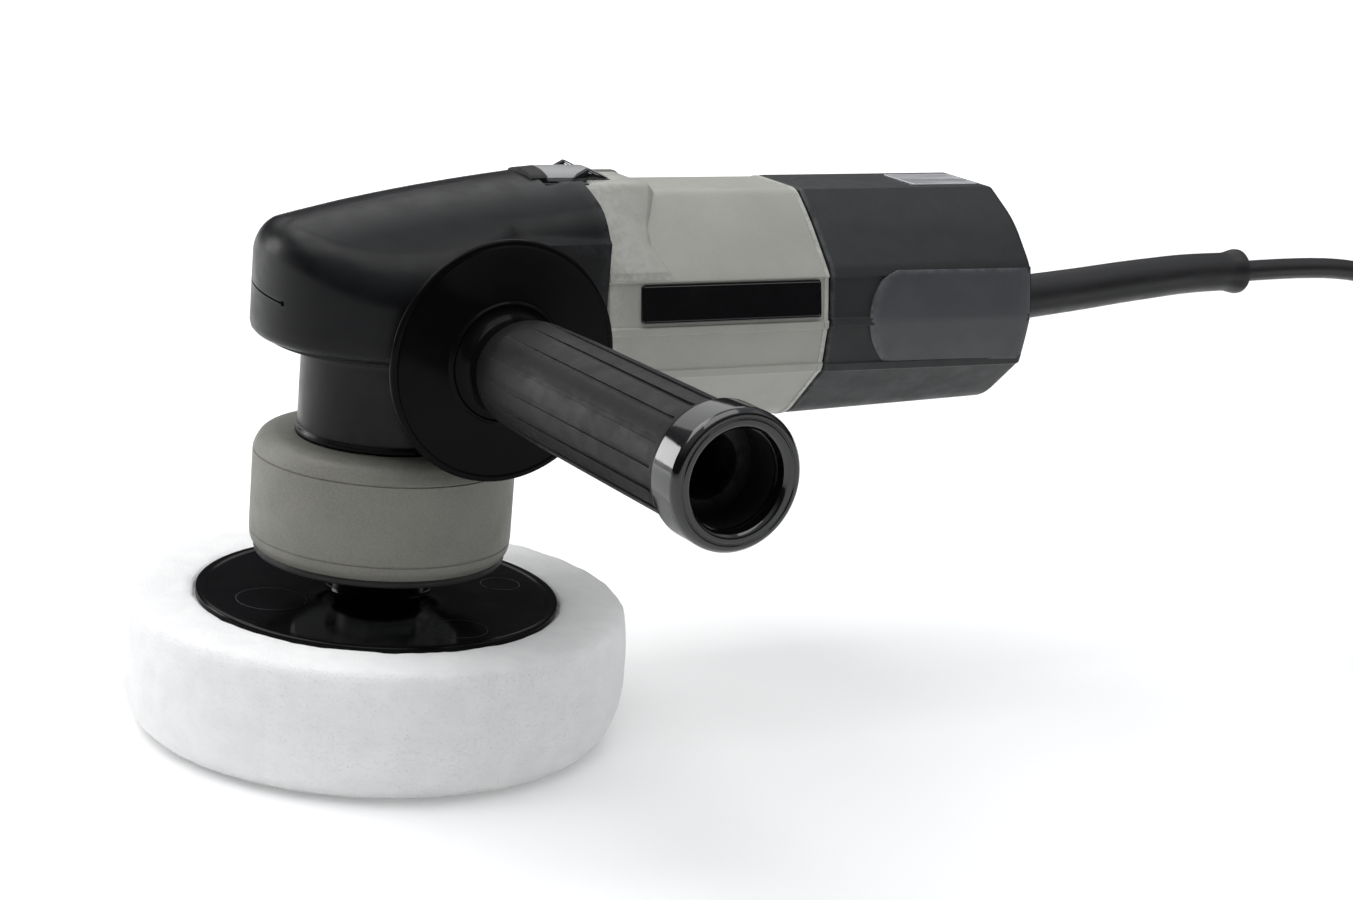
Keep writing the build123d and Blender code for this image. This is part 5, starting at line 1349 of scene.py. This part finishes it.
def makePatches():
    (zTop, xTop), (zMid, xMid), (zLow, xLow) = patch["left"]
    for side, name in ((-1, "patchNear"), (1, "patchFar")):
        rows = []
        count = 24
        for k in range(count + 1):
            z = patch["low"] + (patch["high"] - patch["low"]) * k / count
            l0 = (z - zMid) * (z - zLow) / ((zTop - zMid) * (zTop - zLow))
            l1 = (z - zTop) * (z - zLow) / ((zMid - zTop) * (zMid - zLow))
            l2 = (z - zTop) * (z - zMid) / ((zLow - zTop) * (zLow - zMid))
            left = xTop * l0 + xMid * l1 + xLow * l2
            corner = 3.2 * max(0, 1 - min(k, count - k) / 2.4) ** 2
            row = []
            stops = [left + corner + (cap["rear"] - 3.3 - left - corner) * j / 16 for j in range(17)]
            for j, x in enumerate([stops[0]] + stops + [stops[-1] + 1.9, stops[-1] + 2.9, stops[-1] + 2.9]):
                share = (x - cap["front"]) / (cap["rear"] - cap["front"])
                bulge = (z - 128.0) / (16.2 if z > 128 else 14.6)
                y = 36.75 + 3.3 * share - (2.1 + 0.7 * share) * abs(bulge) ** 1.25
                edge = min(k, count - k)
                out = patch["proud"] * (1 if edge > 0 else 0.0)
                if j in (0, 20):
                    out = -patch["deep"]
                if j == 1:
                    out = patch["proud"] * 0.45
                if j == 18:
                    out -= 0.75
                if j == 19:
                    out -= 2.1
                row.append((x, side * (y + out), z))
            rows.append(row)
        back = [[(p[0],
                  side * (abs(p[1]) if j in (0,
                                             20) else abs(p[1]) - patch["deep"] - patch["proud"] * 0.5),
                                             p[2])
                 for j, p in enumerate(row)] for row in reversed(rows)]
        points, faces = skin(rows + back + rows[:1], ring=False)
        work = makePiece(name, points, faces, "thumbPatch", 32)
        closeEnds(work)
        settle(work, "housing", "dark_plastic")


def closeEnds(piece):
    work = bmesh.new()
    work.from_mesh(piece.data)
    open_ = [e for e in work.edges if len(e.link_faces) == 1]
    if open_:
        bmesh.ops.holes_fill(work, edges=open_)
    bmesh.ops.recalc_face_normals(work, faces=work.faces)
    work.to_mesh(piece.data)
    work.free()


makePatches()

# recessed screw heads at the back
screw = {"radius": 3.25, "height": 2.2, "cross": 1.0, "deep": 1.2}


def makeCapScrews():
    r, h = screw["radius"], screw["height"]
    head = rounded([(1.7, -14, 0), (1.7, 0, 0), (r - 0.05, 0, 0.2), (r, h - 0.9, 0.5),
                    (r - 1.2, h - 0.1, 0.8), (0, h, 0)])
    points, faces = lathe([(0, -14)] + head, (0, 0, 0), "X", 48)
    one = makePiece("screwHead", points, faces, "brushedSteel", 30)
    half, deep = screw["cross"] / 2, screw["deep"]
    bars = []
    for slotHalf, tall in ((1.9, half), (half, 1.9)):
        rows = [[(x, -slotHalf, -tall), (x, slotHalf, -tall), (x, slotHalf, tall),
                 (x, -slotHalf, tall)] for x in (h - deep, h + 1)]
        bars.append(skin(rows, start=True, end=True))
    for bar in bars:
        cutAway(one, makePiece("crossCutter", *bar, "brushedSteel"), 30)

    def drawScrews(s, entry):
        corner = s.node("GeometryNodeMeshLine", None, {"Count": entry["Count"], "Offset": (0, 0, 0)},
                        "Mesh")
        number = s.node("GeometryNodeInputIndex")
        pair = s.maths("FLOOR", number / 2)
        side = pair * 2 - 1
        level = number - pair * 2
        spot = s.node("ShaderNodeCombineXYZ", None, {
            "X": entry["Face"], "Y": side * entry["Out"], "Z": entry["Low"] + level * entry["Rise"]})
        placed = s.node("GeometryNodeSetPosition", None, {"Geometry": corner, "Position": spot})
        turned_ = s.node("FunctionNodeRandomValue", {"data_type": "FLOAT"}, {
            "Min_001": 0.0, "Max_001": 1.5, "Seed": 4}, "Value_001")
        turn = s.node("ShaderNodeCombineXYZ", None, {"X": turned_, "Y": 0.0, "Z": 0.0})
        spin = s.node("FunctionNodeEulerToRotation", None, {0: turn})
        capHead = s.node("GeometryNodeObjectInfo", None, {"Object": entry["Head"]}, "Geometry")
        heads = s.node("GeometryNodeInstanceOnPoints", None,
                       {"Points": placed, "Instance": capHead, "Rotation": spin})
        return closing(s, heads, entry["Finish"])

    tree = shapeTree("capScrews", {"Count": 4, "Face": 0.2, "Out": 0.02, "Low": 0.11, "Rise": 0.03,
                                   "Head": "object", "Finish": "material"}, drawScrews)
    screws = makePiece("capScrews", points[:3], [(0, 1, 2)], "brushedSteel")
    useTree(screws, tree, {"Count": 4, "Face": (cap["rear"] - 8.0) * mm, "Out": 22.5 * mm,
                           "Low": 110.0 * mm,
                           "Rise": 34.5 * mm, "Head": one, "Finish": finishes["brushedSteel"]})
    bpy.data.objects.remove(one)
    settle(screws, "housing", "steel", "rear_cap_screws")


makeCapScrews()
print("housing and cap made")


# a thin plate with round corners: each level is (inset from the outline, height over the seat)
def plaque(name, centre, across, along, size, corner, levels, look, fill=True):
    along, across = Vector(along).normalized(), Vector(across).normalized()
    up = across.cross(along)
    rows = []
    for inset, height in levels:
        w, h = size[0] / 2 - inset, size[1] / 2 - inset
        r = max(corner - inset, 0.05)
        row = []
        for cx, cy, start in ((w - r, h - r, 0), (r - w, h - r, 90), (r - w, r - h, 180),
                              (w - r, r - h, 270)):
            for k in range(9):
                turn = math.radians(start + 90 * k / 8)
                p = Vector(centre) + across * (cx + r * math.cos(turn)) + along * (cy + r * math.sin(turn)) + up * height
                row.append(tuple(p))
        rows.append(row)
    points, faces = skin(rows, start=True, end=fill)
    return makePiece(name, points, faces, look, 30)


badge = {"size": (63.0, 11.6), "corner": 1.2, "x": 94.5, "y": 35.2, "z": 135.3, "tilt": (-0.2045, 0.979),
         "levels": [(0.1, -0.5), (0, -0.4), (0, 0.55), (0.25, 0.8), (0.6, 0.8), (0.8, 0.62), (1.0, 0.6)]}
for side, name in ((-1, "badgeNear"), (1, "badgeFar")):
    lean, rise = badge["tilt"]
    made = plaque(name, (badge["x"], side * badge["y"], badge["z"]), (-side, 0, 0),
                  (0, side * lean, rise), badge["size"],
                  badge["corner"], badge["levels"], "glossBlack")
    settle(made, "housing", "plate_black", "nameplate_near" if side < 0 else "nameplate_far")

label = {"size": (25.0, 18.0), "corner": 1.0, "place": (188.0, 0, 165.0)}
made = plaque("foilLabel", label["place"], (1, 0, 0), (0, 1, 0), label["size"], label["corner"],
              [(0, -0.05), (0, 0.16), (0.12, 0.24), (0.9, 0.24), (1.0, 0.2), (1.15, 0.2)], "foil")
settle(made, "housing", "label_silver", "rating_label")

# the switch: seat, front wedge, and the slider with its ribbed hump
switch = {
    "seat": {"x": (41.7, 66.4), "half": 8.4, "low": 163.6, "high": 166.6},
    "wedge": [(38.3, 164.8), (38.5, 170.6), (43.3, 171.2), (43.3, 167.0), (43.0, 164.8)],
    "slider": [(43.75, 167.1), (43.75, 171.0), (44.1, 171.4), (59.2, 171.4), (59.8, 171.25),
               (64.6, 168.9), (64.95, 168.5),
               (64.95, 167.1)],
    "half": 8.0,
    "base": 167.1,
    "top": 171.4,
    "sunk": 1.0,
    "arch": 34.0,
    "edge": 0.3,
    "hump": {"apex": (57.1, 170.8), "base": (51.8, 63.8), "low": 168.0, "ribs": 5, "out": 0.9},
}


def prism(name, outline, y0, y1, look, bevel=0.25, angle=30):
    rows = []
    cx = sum(p[0] for p in outline) / len(outline)
    cz = sum(p[1] for p in outline) / len(outline)
    for y, inset in ((y0, bevel), (y0 + bevel, 0), (y1 - bevel, 0), (y1, bevel)):
        row = []
        for x, z in outline:
            length = math.hypot(x - cx, z - cz) or 1
            row.append((x - (x - cx) / length * inset, y, z - (z - cz) / length * inset))
        rows.append(row)
    points, faces = skin(rows, start=True, end=True)
    return makePiece(name, points, faces, look, angle)


# a prism whose top is arched from side to side
def arched(name, outline, half, look):
    rows = []
    for k in range(21):
        y = half * (k / 10 - 1)
        inset = switch["edge"] if k in (0, 20) else 0.0
        row = []
        for x, z in outline:
            lift = min(max((z - switch["base"]) / (switch["top"] - switch["base"]), 0), 1)
            row.append((x, y, z - lift * (switch["sunk"] + y * y / switch["arch"] + inset)))
        rows.append(row)
    points, faces = skin(rows, start=True, end=True)
    return makePiece(name, points, faces, look, 30)


def makeSwitch():
    seat = switch["seat"]
    (x0, x1), half = seat["x"], seat["half"]
    frameRows = []
    hole = (46.0, 64.0, 2.2)
    for inner, z in ((0, seat["low"]), (0, seat["high"] - 0.3), (0.3, seat["high"]), (1, seat["high"]),
                     (1, seat["low"])):
        if inner == 1:
            a, b, h = hole
        else:
            a, b, h = x0 + inner, x1 - inner, half - inner
        frameRows.append([(a, -h, z), ((a + b) / 2, -h, z), (b, -h, z), (b, 0, z), (b, h, z),
                          ((a + b) / 2, h, z), (a, h, z), (a, 0, z)])
    points, faces = skin(frameRows + frameRows[:1])
    settle(makePiece("switchSeat", points, faces, "darkShell"), "housing", "dark_plastic", "switch_bezel")
    settle(arched("switchWedge", switch["wedge"], 7.9, "insidePlastic"), "housing", "inner_plastic")
    # the dark shoulders between boot and rails
    for side, name in ((-1, "shoulderNear"), (1, "shoulderFar")):
        outline = [(45.5, 163.2), (46.4, 166.7), (47.2, 167.25), (55.0, 167.25), (56.0, 166.4),
                   (56.3, 163.2)]
        ends = sorted((side * 8.55, side * 12.7))
        settle(prism(name, outline, *ends, "darkShell", 0.35), "housing", "dark_plastic")
    slider = arched("switchThumb", switch["slider"], switch["half"], "sliderPlastic")
    stem = prism("switchStem", [(46.2, 161.0), (46.2, 168.0), (52.2, 168.0), (52.2, 161.0)], -2.0, 2.0,
                 "sliderPlastic")
    settle(slider, "switch_slider", "slider_grey", "switch_slider")
    settle(stem, "switch_slider", "slider_grey")
    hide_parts("switch_slider")
    hump = switch["hump"]

    def drawRibs(s, entry):
        line = s.node("GeometryNodeMeshLine", None, {"Count": entry["Ribs"], "Offset": (0, 0, 0)}, "Mesh")
        share = s.node("GeometryNodeInputIndex") / (entry["Ribs"] - 1)
        spot = s.node("ShaderNodeCombineXYZ", None, {"X": 0.0, "Y": 0.0, "Z": share * entry["Drop"]})
        size = s.node("ShaderNodeCombineXYZ", None, {"X": 1 - 0.86 * share, "Y": 1.0,
                                                     "Z": 1 - 0.86 * share})
        placed = s.node("GeometryNodeSetPosition", None, {"Geometry": line, "Position": spot})
        rib = s.node("GeometryNodeObjectInfo", None, {"Object": entry["Rib"]}, "Geometry")
        ribs = s.node("GeometryNodeInstanceOnPoints", None,
                      {"Points": placed, "Instance": rib, "Scale": size})
        moved = s.node("GeometryNodeTransform", None, {"Geometry": ribs, "Translation": s.node(
            "ShaderNodeCombineXYZ", None, {"X": entry["Apex X"], "Y": entry["Side"],
                                           "Z": entry["Apex Z"]})}, "Geometry")
        return closing(s, moved, entry["Finish"])

    tree = shapeTree("thumbRibs", {"Ribs": 5, "Drop": 0.0, "Apex X": 0.0, "Apex Z": 0.0, "Side": 0.0,
                                   "Rib": "object",
                                   "Finish": "material"}, drawRibs)
    (ax, az), (b0, b1), low = hump["apex"], hump["base"], hump["low"]
    t = 0.24
    outer = [(b0 - ax, low - az), (0, 0), (b1 - ax, low - az)]
    thinner = [(b1 - ax - 2.6 * t, low - az), (0, -t * 1.6), (b0 - ax + 2.6 * t, low - az)]
    for side, name in ((-1, "thumbRibsNear"), (1, "thumbRibsFar")):
        rib = prism("rib", outer + thinner, -hump["out"], hump["out"], "insidePlastic", 0.02)
        ribs = makePiece(name, [(0, 0, 0), (1, 0, 0), (0, 1, 0)], [(0, 1, 2)], "insidePlastic")
        useTree(ribs, tree, {"Ribs": hump["ribs"], "Drop": (low - az) * 0.86 * mm, "Apex X": ax * mm,
                             "Apex Z": az * mm,
                             "Side": side * (switch["half"] - 0.4) * mm, "Rib": rib,
                             "Finish": finishes["insidePlastic"]})
        bpy.data.objects.remove(rib)
        settle(ribs, "switch_slider", "inner_plastic")


makeSwitch()

# the speed dial, knurled round its rim
dial = {"height": 148.0, "radius": 11.4, "teeth": 30, "from": 194.0, "to": 209.2}


def makeDial():
    rows = []
    stations = [(194.0, 2.4, 0), (201.6, 2.4, 0), (201.8, 11.2, 0), (205.0, 11.3, 0), (205.6, 11.4, 1),
                (208.3, 11.4, 1),
                (209.0, 10.9, 0.7), (209.25, 10.2, 0.2), (209.25, 8.2, 0), (208.85, 7.8, 0),
                (208.85, 3.0, 0), (208.85, 0.3, 0)]
    for x, radius, knurl in stations:
        row = []
        for k in range(240):
            turn = 2 * math.pi * k / 240
            wave = 0.5 + 0.5 * math.cos(turn * dial["teeth"])
            r = radius - knurl * 0.6 * wave**2
            row.append((x, r * math.sin(turn), dial["height"] + r * math.cos(turn)))
        rows.append(row)
    points, faces = skin(rows, start=True, end=True)
    knob = makePiece("speedKnob", points, faces, "insidePlastic", 40)
    settle(knob, "speed_dial", "inner_plastic", "speed_dial")
    mark = plaque("speedMark", (208.8, 0, dial["height"] + 9.2), (0, 1, 0), (0, 0, 1), (1.1, 3.0), 0.3,
                  [(0, 0), (0, 0.5), (0.12, 0.62), (0.2, 0.62)], "sliderPlastic")
    settle(mark, "speed_dial", "slider_grey")


makeDial()
print("badges, switch and dial made")

# the bench and the studio light
studio = {
    "floor": 9.0,
    "sky": 0.6,
    "rise": (0.25, 0.85),
    "dim": (0.05, 0.05, 0.055),
    "bright": (0.95, 0.97, 1.0),
    # place, aim, size across and up, watts
    "lamps": [
        ((-0.7, 0.55, 1.6), (0.05, 0, 0.12), (1.5, 1.0), 15),
        ((0.05, -0.3, 1.9), (0.05, 0, 0.1), (1.5, 1.2), 14.5),
        ((1.3, -0.5, 0.9), (0.1, 0, 0.12), (0.9, 1.1), 1.2),
        ((0.3, 1.3, 1.3), (0.1, 0, 0.15), (1.8, 1.0), 6),
        ((-0.8, 1.0, 0.36), (-0.02, -0.08, 0.13), (0.42, 0.5), 4.0),
    ],
}


# the bench glows a little, and more behind the tool, like a lit sweep of paper
def backGlow(s):
    x, y, z = s.split(s.place())
    far = s.smooth(y * 1.0 + x * 0.3, 0.45, 1.9)
    return s.blend(far, (0.15, 0.15, 0.15), (0.75, 0.75, 0.75))


def whiteFloor(s):
    cloud = s.noise(300, detail=2)
    return s.blend(s.smooth(cloud, 0.3, 0.7), (0.86, 0.86, 0.86), (0.9, 0.9, 0.9))


finish("benchTop", whiteFloor, 0.85, glow=backGlow, EmissionStrength=1.0)


def makeStudio():
    reach = studio["floor"]
    mesh = bpy.data.meshes.new("bench")
    mesh.from_pydata([(-reach, -reach, 0), (reach, -reach, 0), (reach, reach, 0), (-reach, reach, 0)],
                     [], [(0, 1, 2, 3)])
    mesh.materials.append(finishes["benchTop"])
    bench = bpy.data.objects.new("bench", mesh)
    bpy.context.scene.collection.objects.link(bench)
    for k, (place, aim, size, watts) in enumerate(studio["lamps"]):
        lamp = bpy.data.lights.new(f"lamp{k + 1}", "AREA")
        lamp.shape = "RECTANGLE"
        lamp.size, lamp.size_y = size
        lamp.energy = watts
        holder = bpy.data.objects.new(f"lamp{k + 1}", lamp)
        away = Vector(place) - Vector(aim)
        holder.matrix_world = Matrix.Translation(place) @ away.to_track_quat("Z", "Y").to_matrix().to_4x4()
        bpy.context.scene.collection.objects.link(holder)
    world = bpy.data.worlds.new("studio")
    bpy.context.scene.world = world
    world.use_nodes = True
    sky = Sheet(world.node_tree)
    background = world.node_tree.nodes["Background"]
    height = sky.split(sky.node("ShaderNodeTexCoord", out="Generated"))[2]
    shade = sky.blend(sky.smooth(height, *studio["rise"]), studio["dim"], studio["bright"])
    world.node_tree.links.new(shade.socket, background.inputs["Color"])
    background.inputs["Strength"].default_value = studio["sky"]
    bpy.context.scene.view_settings.view_transform = "Standard"


makeStudio()
